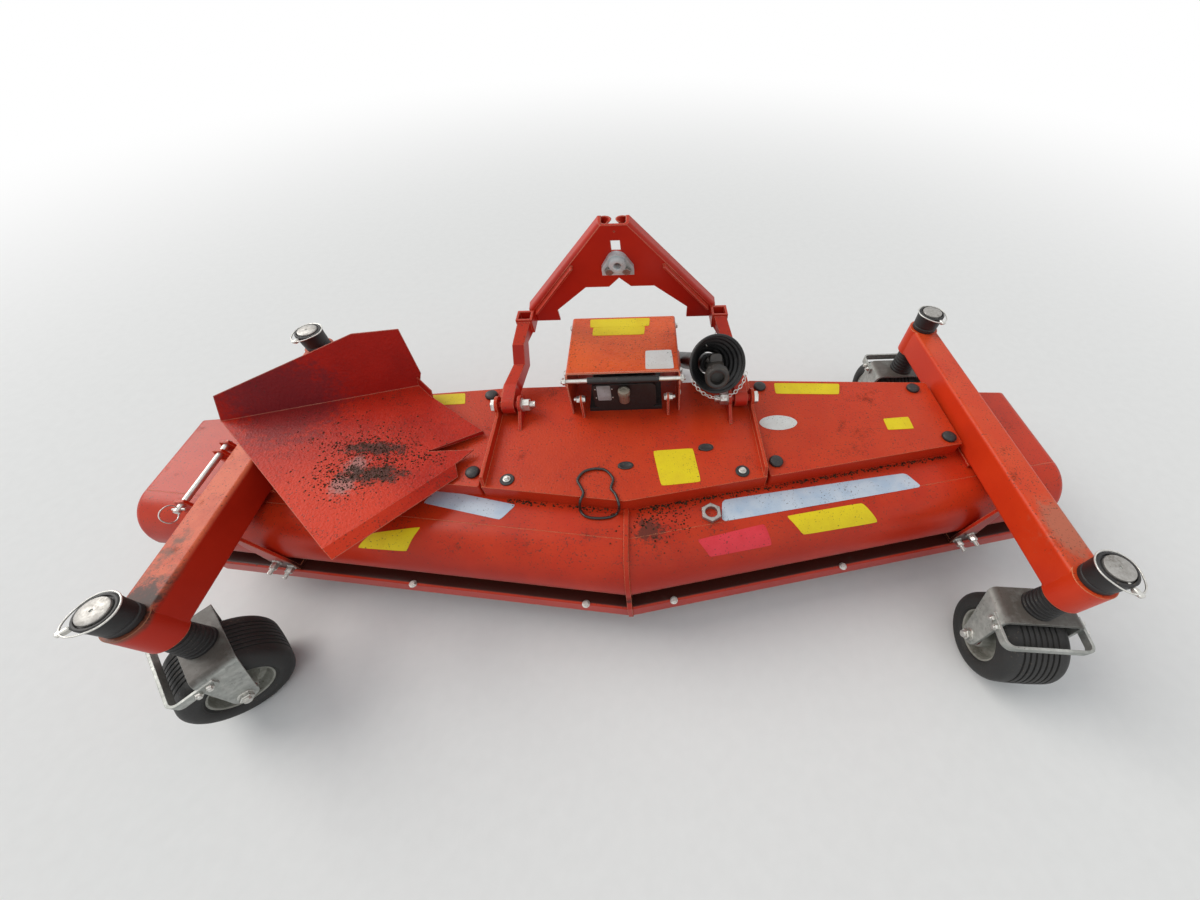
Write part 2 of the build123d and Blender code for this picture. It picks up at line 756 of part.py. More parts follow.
# Discharge deflector, lying loose and tilted on the left beam and belt cover.
deflector_t = 3.0
tilt = 0.075              # fall towards the middle
rest = Plane(
    origin=(-(stem_x - beam_w / 2), 0, beam_z + beam_h - 0.4),
    x_dir=(1, 0, -tilt),
    z_dir=(tilt, 0, 1),
)
rear_near = (-139, -8)    # corners of the flat panel
nose_tip = (257, -370)
lip_end = (483, -132)
slit_start = (398, -101)
slit_end = (520, -28)
corner_tip = (366, 87)
rear_far = (308, 142)
panel_points = [rear_near, nose_tip, lip_end, (510, -93), slit_start, slit_end, corner_tip, rear_far]
panel = slab(panel_points, 0, deflector_t)


def span(start, end):
    """Distance between two corners."""
    return hypot(end[0] - start[0], end[1] - start[1])


def bent_strip(start, end, outline, angle):
    """Plate along the line from start to end, drawn along it and outwards, bent up by angle."""
    run = Vector(end[0] - start[0], end[1] - start[1], 0)
    pivot = deflector_t if angle < 0 else 0
    line = Plane(origin=(start[0], start[1], pivot), x_dir=run, z_dir=(0, 0, 1))
    return line * (Rot(angle, 0, 0) * slab(outline, -pivot, deflector_t - pivot))


rear_run = span(rear_near, rear_far)
rear_outline = [
    (0, 0),
    (23, 70),
    (370, 171),
    (478, 166),
    (rear_run + 16, 37),
    (rear_run, 0),
]
panel += bent_strip(rear_near, rear_far, rear_outline, 75)
lip_run = span(lip_end, nose_tip)
panel += bent_strip(lip_end, nose_tip, [(10, 0), (lip_run, 0), (lip_run, 31), (26, 31)], -27)
slit_run = span(slit_end, slit_start)
panel += bent_strip(slit_end, slit_start, [(0, 0), (slit_run, 0), (slit_run, 4), (0, 12)], -75)
panel += bent_strip(rear_far, corner_tip, [(0, 0), (70, 0), (70, 26), (0, 30)], 80)
nodes["deflector"] = rest * panel

# Hinge rod for the deflector on the left end.
rod_x = -(stem_x + 157.0)
rod_z = deck_top + 18.0
hinge_rod = rod(14, (rod_x, -226, rod_z), (rod_x, 0, rod_z))
hinge_lug = polygon([(-20, 0), (20, 0), (11, 30), (-11, 30)])
for y in (-200.0, -40.0, -10.0):
    hinge_rod += Pos(rod_x, 0, deck_top - 25) * along_y(Pos(0, 25) * hinge_lug, y - 4, y + 4)
    hinge_rod += Pos(rod_x, 0, deck_top - 25) * along_y(polygon([(-20, 0), (20, 0), (20, 25), (-20, 25)]), y - 4, y + 4)
nodes["discharge_hinge"] = hinge_rod - mirror(rolled_form(deck_left, 0, slot_top), Plane.YZ)

# Drive shaft beside the gearbox guard, its tail on the floor.
axis = (Vector(*tail) - Vector(*head)).normalized()
length = (Vector(*tail) - Vector(*head)).length
front_end = Plane(origin=head, z_dir=axis)
rear_end = Plane(origin=tail, z_dir=axis * -1)
wall = 3.0
bell_outer = [
    (bell_r, 0),
    (bell_r, 14),
    (bell_r - 7, 16),
    (bell_r - 7, 28),
    (bell_r - 15, 30),
    (bell_r - 15, 42),
    (bell_r - 24, 44),
    (bell_r - 24, 56),
    (bell_r - 33, 58),
    (bell_r - 33, 70),
    (tube_r + 6, 74),
    (tube_r + 6, bell_len),
]
bell_inner = [(max(r - wall, tube_r), z) for r, z in bell_outer[::-1]]
bell_inner[0] = (tube_r, bell_len)
bell = revolve(Plane.XZ * polygon(bell_outer + bell_inner), Axis.Z)
tube = front_end * (Pos(0, 0, 62) * extrude(Circle(tube_r), length - 124))
stem = Pos(0, 0, 47) * Cylinder(20, 30) + Pos(0, 0, 28) * Box(20, 52, 24)
joint_centre = front_end.from_local_coords((0, 0, 30))
droop = Plane(origin=joint_centre, z_dir=(-0.05, -0.97, 0.24))
end_yoke = Pos(0, 0, 36) * Box(46, 22, 56) + Pos(0, 0, 72) * Cylinder(30, 22)
end_yoke -= Pos(0, 0, 74) * Cylinder(input_d / 2, 24)
tail_yoke = Pos(0, 0, 4) * Box(22, 46, 30) + Pos(0, 0, -18) * Cylinder(30, 18)
tail_yoke -= Pos(0, 0, -18) * Cylinder(input_d / 2, 24)
nodes["drive_tube"] = tube
nodes["drive_bells"] = Part() + [front_end * bell, rear_end * bell]
nodes["drive_joints"] = Part() + [front_end * stem + droop * end_yoke, rear_end * (stem + tail_yoke)]

# The nose stands off the footprint's middle by half the difference of the two ends.
nose_x = (deck_left - deck_right) / 2
os.makedirs("parts", exist_ok=True)
for name, piece in nodes.items():
    export_step(Pos(nose_x, 0, 0) * piece, "parts/" + name + ".step")
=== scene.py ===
# %% [markdown]
# # A rotary mower deck, dressed piece by piece
# The solids of this mower come from a CAD model that already has every form at its real size. This
# lesson loads that model as a frame, looks at it from the height of a person's eyes, and then adds
# what paint, rubber, bolts and dirt do to it. Lengths are metres, Z is up, and X runs across the mower.

# %% Load the frame
from math import cos, radians, sin

import bpy
import numpy as np
from mathutils import Matrix, Vector


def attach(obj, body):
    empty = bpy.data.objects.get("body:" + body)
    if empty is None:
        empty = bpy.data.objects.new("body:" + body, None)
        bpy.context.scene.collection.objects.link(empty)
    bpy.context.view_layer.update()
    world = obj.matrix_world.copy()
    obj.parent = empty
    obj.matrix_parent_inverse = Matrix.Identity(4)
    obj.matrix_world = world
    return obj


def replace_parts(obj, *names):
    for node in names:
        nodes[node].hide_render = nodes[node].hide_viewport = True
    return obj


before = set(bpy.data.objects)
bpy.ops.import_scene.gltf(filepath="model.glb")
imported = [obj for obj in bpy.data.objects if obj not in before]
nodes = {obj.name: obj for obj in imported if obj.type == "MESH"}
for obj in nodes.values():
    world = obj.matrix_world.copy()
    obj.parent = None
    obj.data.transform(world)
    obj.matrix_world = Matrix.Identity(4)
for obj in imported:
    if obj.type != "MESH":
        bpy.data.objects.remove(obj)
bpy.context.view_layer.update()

# %% [markdown]
# ## Camera
# The picture is taken from just in front of the mower, looking steeply down through a very wide lens,
# which is why the caster wheels lean outwards. A camera can be placed by eye, but here its place, its
# three turns and its focal length were worked out from points whose real places are known. The lens is
# given in millimetres on a 36 mm wide sensor, and a small shift moves the picture's centre. Places in
# this lesson are measured from the nose of the deck, which stands 50 mm beside the frame's origin.

# %% Camera
NOSE = np.array([0.05, 0.0, 0.0])
EYE = NOSE + (0.0696, -0.7924, 1.1989)
YAW, PITCH, ROLL = radians(1.962), radians(53.285), radians(-0.487)
FOCAL_PX, CENTRE_PX = 419.9, (661.55, 465.62)
PICTURE = (1200, 900)

look = np.array([sin(YAW) * cos(PITCH), cos(YAW) * cos(PITCH), -sin(PITCH)])
right = np.array([cos(YAW), -sin(YAW), 0.0])
up = np.cross(right, look)
right, up = right * cos(ROLL) + up * sin(ROLL), up * cos(ROLL) - right * sin(ROLL)

lens = bpy.data.cameras.new("camera")
lens.sensor_width = 36.0
lens.lens = FOCAL_PX / PICTURE[0] * lens.sensor_width
lens.shift_x = (PICTURE[0] / 2 - CENTRE_PX[0]) / PICTURE[0]
lens.shift_y = (CENTRE_PX[1] - PICTURE[1] / 2) / PICTURE[0]
lens.clip_start, lens.clip_end = 0.02, 900.0
camera = bpy.data.objects.new("camera", lens)
camera.matrix_world = Matrix(
    [[right[i], up[i], -look[i], EYE[i]] for i in range(3)] + [[0.0, 0.0, 0.0, 1.0]]
)
bpy.context.scene.collection.objects.link(camera)
bpy.context.scene.camera = camera
print("lens %.2f mm" % lens.lens, "shift %.3f %.3f" % (lens.shift_x, lens.shift_y))

# %% [markdown]
# ## Node helpers
# A world or a material is a tree of nodes. Made by hand, each node, value and link takes a line of its
# own, so a few small functions do that here. Each one adds a node, sets its inputs by name or links
# them, and returns the output that the next step needs.


# %% Node helpers
def connect(tree, node, values):
    """Each named input of a node gets a value, or a link where the value is another node's output."""
    for key, value in values.items():
        socket = node.inputs[key]
        if isinstance(value, bpy.types.NodeSocket):
            tree.links.new(value, socket)
        else:
            socket.default_value = value
    return node


def add(tree, kind, values=None, **settings):
    """A node with its settings and its inputs."""
    node = tree.nodes.new(kind)
    for key, value in settings.items():
        setattr(node, key, value)
    return connect(tree, node, values or {})


def maths(tree, kind, a, b=0.0):
    """One arithmetic step."""
    return add(tree, "ShaderNodeMath", {0: a, 1: b}, operation=kind).outputs[0]


def plus(tree, a, b):
    """Sum of two values."""
    return maths(tree, "ADD", a, b)


def minus(tree, a, b):
    """Difference of two values."""
    return maths(tree, "SUBTRACT", a, b)


def times(tree, a, b):
    """Product of two values."""
    return maths(tree, "MULTIPLY", a, b)


def larger(tree, a, b):
    """The larger of two values."""
    return maths(tree, "MAXIMUM", a, b)


def vector_maths(tree, kind, a, b=(0.0, 0.0, 0.0)):
    """One step on vectors; a length or a dot product comes out of Value, all else out of Vector."""
    out = "Value" if kind in ("LENGTH", "DOT_PRODUCT") else "Vector"
    return add(tree, "ShaderNodeVectorMath", {0: a, 1: b}, operation=kind).outputs[out]


def ramp(tree, value, low, high, a=0.0, b=1.0):
    """Smooth step: a below low, b above high."""
    limits = {"Value": value, "From Min": low, "From Max": high, "To Min": a, "To Max": b}
    return add(tree, "ShaderNodeMapRange", limits, interpolation_type="SMOOTHSTEP").outputs["Result"]


def blend(tree, factor, a, b):
    """Mix of two colours."""
    return add(tree, "ShaderNodeMix", {0: factor, 6: a, 7: b}, data_type="RGBA").outputs[2]


def noise(tree, vector, scale, detail, rough=0.5):
    """Cloudy noise between 0 and 1."""
    values = {"Vector": vector, "Scale": scale, "Detail": detail, "Roughness": rough}
    return add(tree, "ShaderNodeTexNoise", values).outputs["Fac"]


def split(tree, vector):
    """The sockets X, Y and Z of a vector."""
    return add(tree, "ShaderNodeSeparateXYZ", {0: vector}).outputs


def surface_normal(tree):
    """The way the surface faces."""
    return add(tree, "ShaderNodeNewGeometry").outputs["Normal"]


def in_view(tree):
    """1 for the rays of the camera, of mirrors and of glass, and 0 for the rays that light things."""
    rays = add(tree, "ShaderNodeLightPath").outputs
    through = larger(tree, rays["Is Glossy Ray"], rays["Is Transmission Ray"])
    return larger(tree, rays["Is Camera Ray"], through)


def rgb(r, g, b):
    """An opaque colour in linear light."""
    return (r, g, b, 1.0)


print("node helpers ready")

# %% [markdown]
# ## Light
# Outdoors under a bright, partly clouded sky, light comes from everywhere, with one softer stronger
# side. A pale world gives the sky, and two wide suns give the side: a sun lights near and far floor
# alike, and a wide one makes soft shadows. The world shows as white only to the camera, to mirrors and
# to glass, so that the light on the mower stays plain.

# %% Light
scene = bpy.context.scene
scene.view_settings.view_transform = "Standard"

world = bpy.data.worlds.new("sky")
world.use_nodes = True
scene.world = world
sky = world.node_tree
sky_out = next(n for n in sky.nodes if n.type == "OUTPUT_WORLD")
sky_light = next(n for n in sky.nodes if n.type == "BACKGROUND")
connect(sky, sky_light, {"Color": rgb(0.93, 0.97, 1.0), "Strength": 0.5})
sky_seen = add(sky, "ShaderNodeBackground", {"Color": rgb(1.0, 1.0, 1.0)})
both_skies = {0: in_view(sky), 1: sky_light.outputs[0], 2: sky_seen.outputs[0]}
sky_mix = add(sky, "ShaderNodeMixShader", both_skies)
connect(sky, sky_out, {"Surface": sky_mix.outputs[0]})


def soft_sun(name, towards, strength, width, tint):
    """Lamp at any distance that shines along a direction; its width in degrees softens the shadows."""
    lamp = bpy.data.lights.new(name, "SUN")
    lamp.energy = strength
    lamp.angle = radians(width)
    lamp.color = tint
    holder = bpy.data.objects.new(name, lamp)
    scene.collection.objects.link(holder)
    turn = (-Vector(towards)).to_track_quat("Z", "Y").to_matrix().to_4x4()
    holder.matrix_world = Matrix.Translation((0, 0, 4)) @ turn
    return holder


soft_sun("sun_side", (0.85, -0.42, -0.80), 1.6, 40.0, (1.0, 0.97, 0.93))
soft_sun("sun_front", (-0.3, 0.8, -0.9), 0.30, 70.0, (0.96, 0.98, 1.0))

# %% [markdown]
# ## Mesh helpers
# Every piece below is a surface worked out as whole arrays of points: a profile carried round an axis,
# a ring carried along a path, or a flat patch bent over the deck. The helper turns such arrays into a
# mesh object, and the shape functions return the arrays, so that one bolt can be set down many times
# in a single mesh.

# %% Mesh helpers
all_pieces = []


def merged(parts):
    """One (points, faces) from a list of them, each part's faces counted on from the points before."""
    points = np.concatenate([p for p, f in parts])
    starts = np.cumsum([0] + [len(p) for p, f in parts])
    faces = [tuple(int(i) + int(s) for i in face) for (p, fs), s in zip(parts, starts) for face in fs]
    return points, faces


def make_piece(name, parts, body, material, smooth=35.0):
    """One object from a list of (points, faces); smooth is the angle in degrees up to which faces blend."""
    points, faces = merged(parts)
    mesh = bpy.data.meshes.new(name)
    mesh.from_pydata((points + NOSE).tolist(), [], faces)
    mesh.validate()
    mesh.update()
    if smooth:
        mesh.shade_smooth()
        mesh.set_sharp_from_angle(angle=radians(smooth))
    piece = bpy.data.objects.new(name, mesh)
    scene.collection.objects.link(piece)
    mesh.materials.append(material)
    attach(piece, body)
    all_pieces.append(piece)
    return piece


def grid_faces(rows, columns, round_columns=False):
    """Quads of a grid of points; the last column joins the first one on a closed ring."""
    r, c = np.meshgrid(np.arange(rows - 1), np.arange(columns if round_columns else columns - 1))
    r, c = r.ravel(), c.ravel()
    n = (c + 1) % columns
    quads = np.stack([r * columns + c, r * columns + n, (r + 1) * columns + n, (r + 1) * columns + c], -1)
    return [tuple(q) for q in quads.tolist()]


def tube_faces(rows, columns, closed):
    """Faces of rings along a path: the last ring joins the first one, or each end gets a cap."""
    faces = grid_faces(rows, columns, True)
    last = (rows - 1) * columns
    c = np.arange(columns)
    n = (c + 1) % columns
    if closed:
        return faces + [tuple(q) for q in np.stack([last + c, last + n, n, c], -1).tolist()]
    return faces + [tuple(range(columns - 1, -1, -1)), tuple(range(last, last + columns))]


def lathe(profile, sides=24, close="caps"):
    """A profile of (radius, height) pairs carried once round the Z axis; capped, or joined end to start."""
    profile = np.asarray(profile, float)
    turn = np.linspace(0, 2 * np.pi, sides, endpoint=False)
    ring = np.stack([np.cos(turn), np.sin(turn)], -1)
    points = np.empty((len(profile), sides, 3))
    points[..., :2] = profile[:, 0, None, None] * ring[None]
    points[..., 2] = profile[:, 1, None]
    return points.reshape(-1, 3), tube_faces(len(profile), sides, close == "loop")


def tube(path, radius, sides=8, closed=False):
    """A circle carried along a path; its frame follows the path's direction."""
    path = np.asarray(path, float)
    if closed:
        along = np.roll(path, -1, 0) - np.roll(path, 1, 0)
    else:
        along = np.gradient(path, axis=0)
    along /= np.linalg.norm(along, axis=1)[:, None]
    help_axis = np.eye(3)[int(np.argmin(path.max(0) - path.min(0)))]
    first = np.cross(along, help_axis)
    first /= np.linalg.norm(first, axis=1)[:, None] + 1e-9
    second = np.cross(along, first)
    turn = np.linspace(0, 2 * np.pi, sides, endpoint=False)[None, :, None]
    points = path[:, None] + radius * (first[:, None] * np.cos(turn) + second[:, None] * np.sin(turn))
    return points.reshape(-1, 3), tube_faces(len(path), sides, closed)


def smooth_path(corners, steps=8):
    """A smooth curve through the corners, by the cubic that takes its slopes from the neighbours."""
    p = np.asarray(corners, float)
    p = np.concatenate([[2 * p[0] - p[1]], p, [2 * p[-1] - p[-2]]])
    t = np.linspace(0, 1, steps, endpoint=False)[None, :, None]
    a, b, c, d = p[:-3, None], p[1:-2, None], p[2:-1, None], p[3:, None]
    curve = 0.5 * (2 * b + (c - a) * t + (2 * a - 5 * b + 4 * c - d) * t**2 + (3 * b - a - 3 * c + d) * t**3)
    return np.concatenate([curve.reshape(-1, 3), p[-2:-1]])


print("surface helpers ready")

# %% [markdown]
# ### Setting parts down
# A part is drawn once, at the origin and along Z, and then set down wherever it belongs. The bolt is
# the part that repeats most: a washer, a six-sided head that narrows at its top, and the end of its
# thread, whose ridges are a radius that goes in and out by turns.


# %% Setting parts down
def turned_to(axis, spin=0.0):
    """Rotation that takes +Z to the axis, after a spin about Z."""
    z = np.asarray(axis, float)
    z = z / np.linalg.norm(z)
    helper = np.array([1.0, 0, 0]) if abs(z[0]) < 0.9 else np.array([0, 1.0, 0])
    x = np.cross(helper, z)
    x /= np.linalg.norm(x)
    y = np.cross(z, x)
    c, s = cos(spin), sin(spin)
    return np.stack([x * c + y * s, y * c - x * s, z], -1)


def put(part, place, axis=(0, 0, 1), spin=0.0, size=1.0):
    """A part moved to a place, turned to an axis and scaled."""
    points, faces = part
    return points * size @ turned_to(axis, spin).T + np.asarray(place, float), faces


def hex_bolt(across=0.024, height=0.011, washer=0.034, thread=0.0):
    """Washer, six-sided head with a chamfer and, where wanted, a threaded end, along +Z."""
    flat = across / 2 / cos(radians(30))
    seat = 0.0024 if washer else 0.0
    parts = []
    if washer:
        parts.append(lathe([(washer / 2, 0), (washer / 2, 0.0018), (washer / 2 - 0.0008, seat)], 24))
    crown = [(flat * 0.96, seat), (flat, seat + 0.0008), (flat, height - 0.0012), (flat * 0.90, height)]
    parts.append(lathe(crown, 6))
    if thread:
        turns = max(3, int(thread / 0.0016))
        level = height + np.linspace(0, thread, 2 * turns)
        radius = across * 0.3 + 0.0005 * (np.arange(2 * turns) % 2)
        parts.append(lathe(np.stack([radius, level], -1), 16))
    return merged(parts)


print("shape helpers ready")

# %% [markdown]
# ## Shared surface effects
# Paint, plastic and metal on this machine age in the same few ways: their edges wear, grime settles on
# them, and a fine skin breaks up their gloss. Each way is one node group that any material can take
# with its own values, so it is built once. A function makes the empty group with its named sockets.


# %% Empty group
def new_group(name, inputs, outputs):
    """A node group with named sockets; each entry is (name, type, value). Returns what it is given too."""
    group = bpy.data.node_groups.new(name, "ShaderNodeTree")
    for label, kind, value in inputs:
        socket = group.interface.new_socket(name=label, in_out="INPUT", socket_type=kind)
        if value is not None:
            socket.default_value = value
    for label, kind in outputs:
        group.interface.new_socket(name=label, in_out="OUTPUT", socket_type=kind)
    return group, group.nodes.new("NodeGroupInput").outputs, group.nodes.new("NodeGroupOutput")


FLOAT, VECTOR = "NodeSocketFloat", "NodeSocketVector"
print("socket types", FLOAT, VECTOR)

# %% [markdown]
# ### Worn edges
# Paint goes first where a sheet ends or bends sharply. The group rounds the normal over a few
# millimetres and compares it with the real one; they differ only near an edge, and noise breaks the
# worn line into chips.

# %% Group for worn edges
edges, given, result = new_group(
    "worn_edges",
    [("Vector", VECTOR, None), ("Radius", FLOAT, 0.003), ("Wear", FLOAT, 0.5)],
    [("Edge", FLOAT), ("Normal", VECTOR)],
)
rounded = add(edges, "ShaderNodeBevel", {"Radius": given["Radius"]}, samples=4).outputs[0]
bend = minus(edges, 1.0, vector_maths(edges, "DOT_PRODUCT", rounded, surface_normal(edges)))
patches = times(edges, noise(edges, given["Vector"], 55.0, 6.0), 0.24)
limit = minus(edges, 0.3, times(edges, given["Wear"], 0.28))
worn = ramp(edges, plus(edges, bend, patches), plus(edges, limit, 0.06), plus(edges, limit, 0.16))
at_edge = ramp(edges, bend, 0.02, 0.06)
connect(edges, result, {"Edge": times(edges, worn, at_edge), "Normal": rounded})
print("worn edges", len(edges.nodes), "nodes")

# %% [markdown]
# ### Grime
# Dirt settles in clouds, more on faces that look up, and a little of it dries as separate specks. One
# noise cut at a level gives the clouds, a much finer one gives the specks, and the height of the normal
# moves the level.

# %% Group for grime
grime, given, result = new_group(
    "grime",
    [("Vector", VECTOR, None), ("Scale", FLOAT, 6.0), ("Amount", FLOAT, 0.3), ("Upward", FLOAT, 0.5)],
    [("Mask", FLOAT), ("Specks", FLOAT)],
)
clouds = noise(grime, given["Vector"], given["Scale"], 11.0, 0.72)
level = ramp(grime, split(grime, surface_normal(grime))["Z"], -0.2, 0.9)
lift = times(grime, minus(grime, level, 0.6), times(grime, given["Upward"], 0.2))
cloudy = plus(grime, clouds, lift)
cut = minus(grime, 0.74, times(grime, given["Amount"], 0.42))
fine = noise(grime, given["Vector"], 210.0, 3.0, 0.6)
specks = ramp(grime, plus(grime, fine, times(grime, cloudy, 0.35)), 0.82, 0.88)
connect(grime, result, {"Mask": ramp(grime, cloudy, cut, plus(grime, cut, 0.14)), "Specks": specks})
print("grime", len(grime.nodes), "nodes")

# %% [markdown]
# ### Pebbled powder coat
# Powder coat has an orange peel skin, and so have moulded plastic and film. It is too fine to model, so
# it is a bump, and its highest pebbles come out as a mask for a painted highlight, a paler colour that
# stands in for the light they catch.

# %% Group for pebbled powder coat
pebble, given, result = new_group(
    "pebbled_skin",
    [("Vector", VECTOR, None), ("Scale", FLOAT, 240.0), ("Depth", FLOAT, 0.4), ("Normal", VECTOR, None)],
    [("Normal", VECTOR), ("Glint", FLOAT)],
)
cells = noise(pebble, given["Vector"], given["Scale"], 2.5, 0.55)
PEBBLE_HEIGHT = 0.0020
bump = add(
    pebble,
    "ShaderNodeBump",
    {"Strength": given["Depth"], "Distance": PEBBLE_HEIGHT, "Height": cells, "Normal": given["Normal"]},
)
connect(pebble, result, {"Normal": bump.outputs[0], "Glint": ramp(pebble, cells, 0.6, 0.72)})
print("groups", [g.name for g in bpy.data.node_groups])

# %% [markdown]
# ## Materials
# Every finish starts from the same few lines: a material, its Principled shader, and the Object
# coordinates that its patterns read, so that a pattern stays with its piece when the piece moves.


# %% Material helpers
def new_material(name):
    """A material with its tree, its Principled shader and its Object coordinates."""
    material = bpy.data.materials.new(name)
    material.use_nodes = True
    tree = material.node_tree
    shader = next(n for n in tree.nodes if n.type == "BSDF_PRINCIPLED")
    place = tree.nodes.new("ShaderNodeTexCoord").outputs["Object"]
    return material, tree, shader, place


def use(tree, group, **values):
    """The outputs of a node group that is placed in a tree with its own values."""
    return add(tree, "ShaderNodeGroup", values, node_tree=group).outputs


print("material helpers ready")

# %% [markdown]
# ## Red paint
# The red powder coat has several states: nearly fresh deep red inside the coupling triangle, sun
# bleached orange on faces that look up, pebbled on the covers, and scuffed to brown dirt on the caster
# beams. One function builds them all. It starts from two shades that drift into each other, fades the
# upward faces, lays grime and specks on top, and shows a paler, chipped line along the edges.

# %% Red paint
DIRT = rgb(0.045, 0.030, 0.020)
SOOT = rgb(0.075, 0.016, 0.010)
DUST = rgb(0.20, 0.15, 0.10)


def red_paint(
    name, main, other, faded, fade, skin, depth, dirt, wear, edge_tone, rough, extra=None, shine=0.22
):
    """Aged powder coat; dirt, wear and fade run from none at 0 to a lot at 1."""
    material, tree, shader, place = new_material(name)
    edge = use(tree, edges, Vector=place, Radius=0.0035, Wear=wear)
    soil = use(tree, grime, Vector=place, Scale=13.0, Amount=dirt, Upward=1.6)
    coat = use(tree, pebble, Vector=place, Scale=skin, Depth=depth, Normal=edge["Normal"])
    drift = noise(tree, place, 3.2, 5.0, 0.6)
    colour = blend(tree, ramp(tree, drift, 0.38, 0.62), main, other)
    facing = split(tree, surface_normal(tree))
    blotch = noise(tree, place, 9.0, 8.0, 0.7)
    upward = ramp(tree, facing["Z"], 0.1, 0.95)
    bleach = times(tree, upward, ramp(tree, blotch, 0.3, 0.65, 0.35, 1.0))
    colour = blend(tree, times(tree, bleach, fade), colour, faded)
    # Painted highlight: the highest pebbles take the paler faded colour, as if they caught the light.
    colour = blend(tree, times(tree, coat["Glint"], 0.22 * min(depth * 2, 1)), colour, faded)
    if extra:
        colour = extra(tree, place, colour)
    colour = blend(tree, times(tree, soil["Mask"], 0.42), colour, SOOT)
    colour = blend(tree, times(tree, soil["Specks"], 0.7), colour, DIRT)
    colour = blend(tree, edge["Edge"], colour, edge_tone)
    dull = plus(tree, times(tree, soil["Mask"], 0.4), rough)
    connect(tree, shader, {"Base Color": colour, "Roughness": dull, "Normal": coat["Normal"]})
    connect(tree, shader, {"Specular IOR Level": shine, "Coat Weight": 0.04, "Coat Roughness": 0.22})
    return material


print("dirt tones", DIRT[:3], SOOT[:3], DUST[:3])

# %% [markdown]
# ### Painted shade and dirt in the gutter
# The gutter between the front rail and the hood is painted near black: painted shade under the hood's
# front roll, together with the black dirt that rain carries into it. A mask finds that strip from the
# slope of the V, and noise breaks its upper edge. A second mask is round and sits at one point, for a
# single clod; the marks on other pieces use it too.


# %% Painted shade and dirt in the gutter, and four red paints
def spot(tree, place, centre, reach, stretch=(1.0, 1.0, 1.0), rough_edge=0.5):
    """Mask that is 1 at a point and fades to 0 at its reach, with a ragged edge."""
    moved = vector_maths(tree, "SUBTRACT", place, tuple(NOSE + centre))
    away = vector_maths(tree, "LENGTH", vector_maths(tree, "MULTIPLY", moved, stretch))
    ragged = noise(tree, place, 60.0, 8.0, 0.75)
    wobble = times(tree, minus(tree, ragged, 0.5), reach * rough_edge * 4)
    return ramp(tree, plus(tree, away, wobble), reach * 0.45, reach, 1.0, 0.0)


RED = rgb(0.54, 0.026, 0.007)
SHADE = rgb(0.42, 0.016, 0.005)
ORANGE = rgb(0.68, 0.062, 0.012)
DEEP = rgb(0.52, 0.022, 0.010)
PALE_EDGE = rgb(0.78, 0.28, 0.14)
V_SLOPE, RAIL_Y, RAIL_TOP = 0.1576, -0.452, 0.150


def deck_shade_and_dirt(tree, place, colour):
    """Painted shade and black dirt in the gutter between rail and hood, found from the V line |x| * slope,
    and one clod.
    """
    axes = split(tree, place)
    across = maths(tree, "ABSOLUTE", minus(tree, axes["X"], float(NOSE[0])))
    behind = minus(tree, minus(tree, axes["Y"], RAIL_Y), times(tree, across, V_SLOPE))
    ragged = noise(tree, place, 45.0, 8.0, 0.7)
    uneven = times(tree, minus(tree, ragged, 0.5), 0.030)
    height = plus(tree, axes["Z"], uneven)
    # Painted shade: the strip under the hood's front roll is painted near black, along with its dirt.
    gutter = times(tree, ramp(tree, behind, 0.003, 0.006), ramp(tree, behind, 0.045, 0.060, 1.0, 0.0))
    gutter = times(tree, gutter, ramp(tree, axes["Z"], RAIL_TOP - 0.004, RAIL_TOP - 0.001))
    gutter = times(tree, gutter, ramp(tree, height, RAIL_TOP + 0.030, RAIL_TOP + 0.062, 1.0, 0.0))
    colour = blend(tree, times(tree, gutter, 0.93), colour, rgb(0.020, 0.010, 0.008))
    clod = spot(tree, place, (0.055, -0.315, 0.300), 0.045, (1.0, 1.2, 0.5), 0.8)
    return blend(tree, times(tree, clod, 0.8), colour, rgb(0.05, 0.022, 0.014))


paint_deck = red_paint(
    "paint_deck", RED, SHADE, ORANGE, 0.45, 320.0, 0.10, 0.10, 0.4, PALE_EDGE, 0.34, deck_shade_and_dirt
)
COVER_RED = rgb(0.50, 0.034, 0.009)
paint_cover = red_paint("paint_cover", COVER_RED, RED, ORANGE, 0.55, 190.0, 0.5, 0.12, 0.45, PALE_EDGE, 0.36)
paint_guard = red_paint(
    "paint_guard", rgb(0.62, 0.055, 0.014), RED, rgb(0.80, 0.13, 0.028), 0.95,
    140.0, 1.0, 0.06, 0.9, rgb(0.84, 0.5, 0.36), 0.30,
)
paint_hitch = red_paint(
    "paint_hitch", DEEP, rgb(0.43, 0.016, 0.008), rgb(0.62, 0.045, 0.014), 0.8,
    320.0, 0.1, 0.08, 0.6, rgb(0.74, 0.24, 0.14), 0.33,
)
print("red paints", [m.name for m in bpy.data.materials if m.name.startswith("paint")])

# %% [markdown]
# ## Metals, rubber and plastic
# The rest of the machine is zinc-dipped sheet, black rubber and plastic, painted iron and bare steel.
# Zinc shows soft grey patches of crystals that blur together with weather, so its colour and its
# roughness both follow the same cellular pattern. Rubber on wheels is never black: dry dust sits in
# it. Bare steel turns brown in patches, and there the metal stops being metallic.


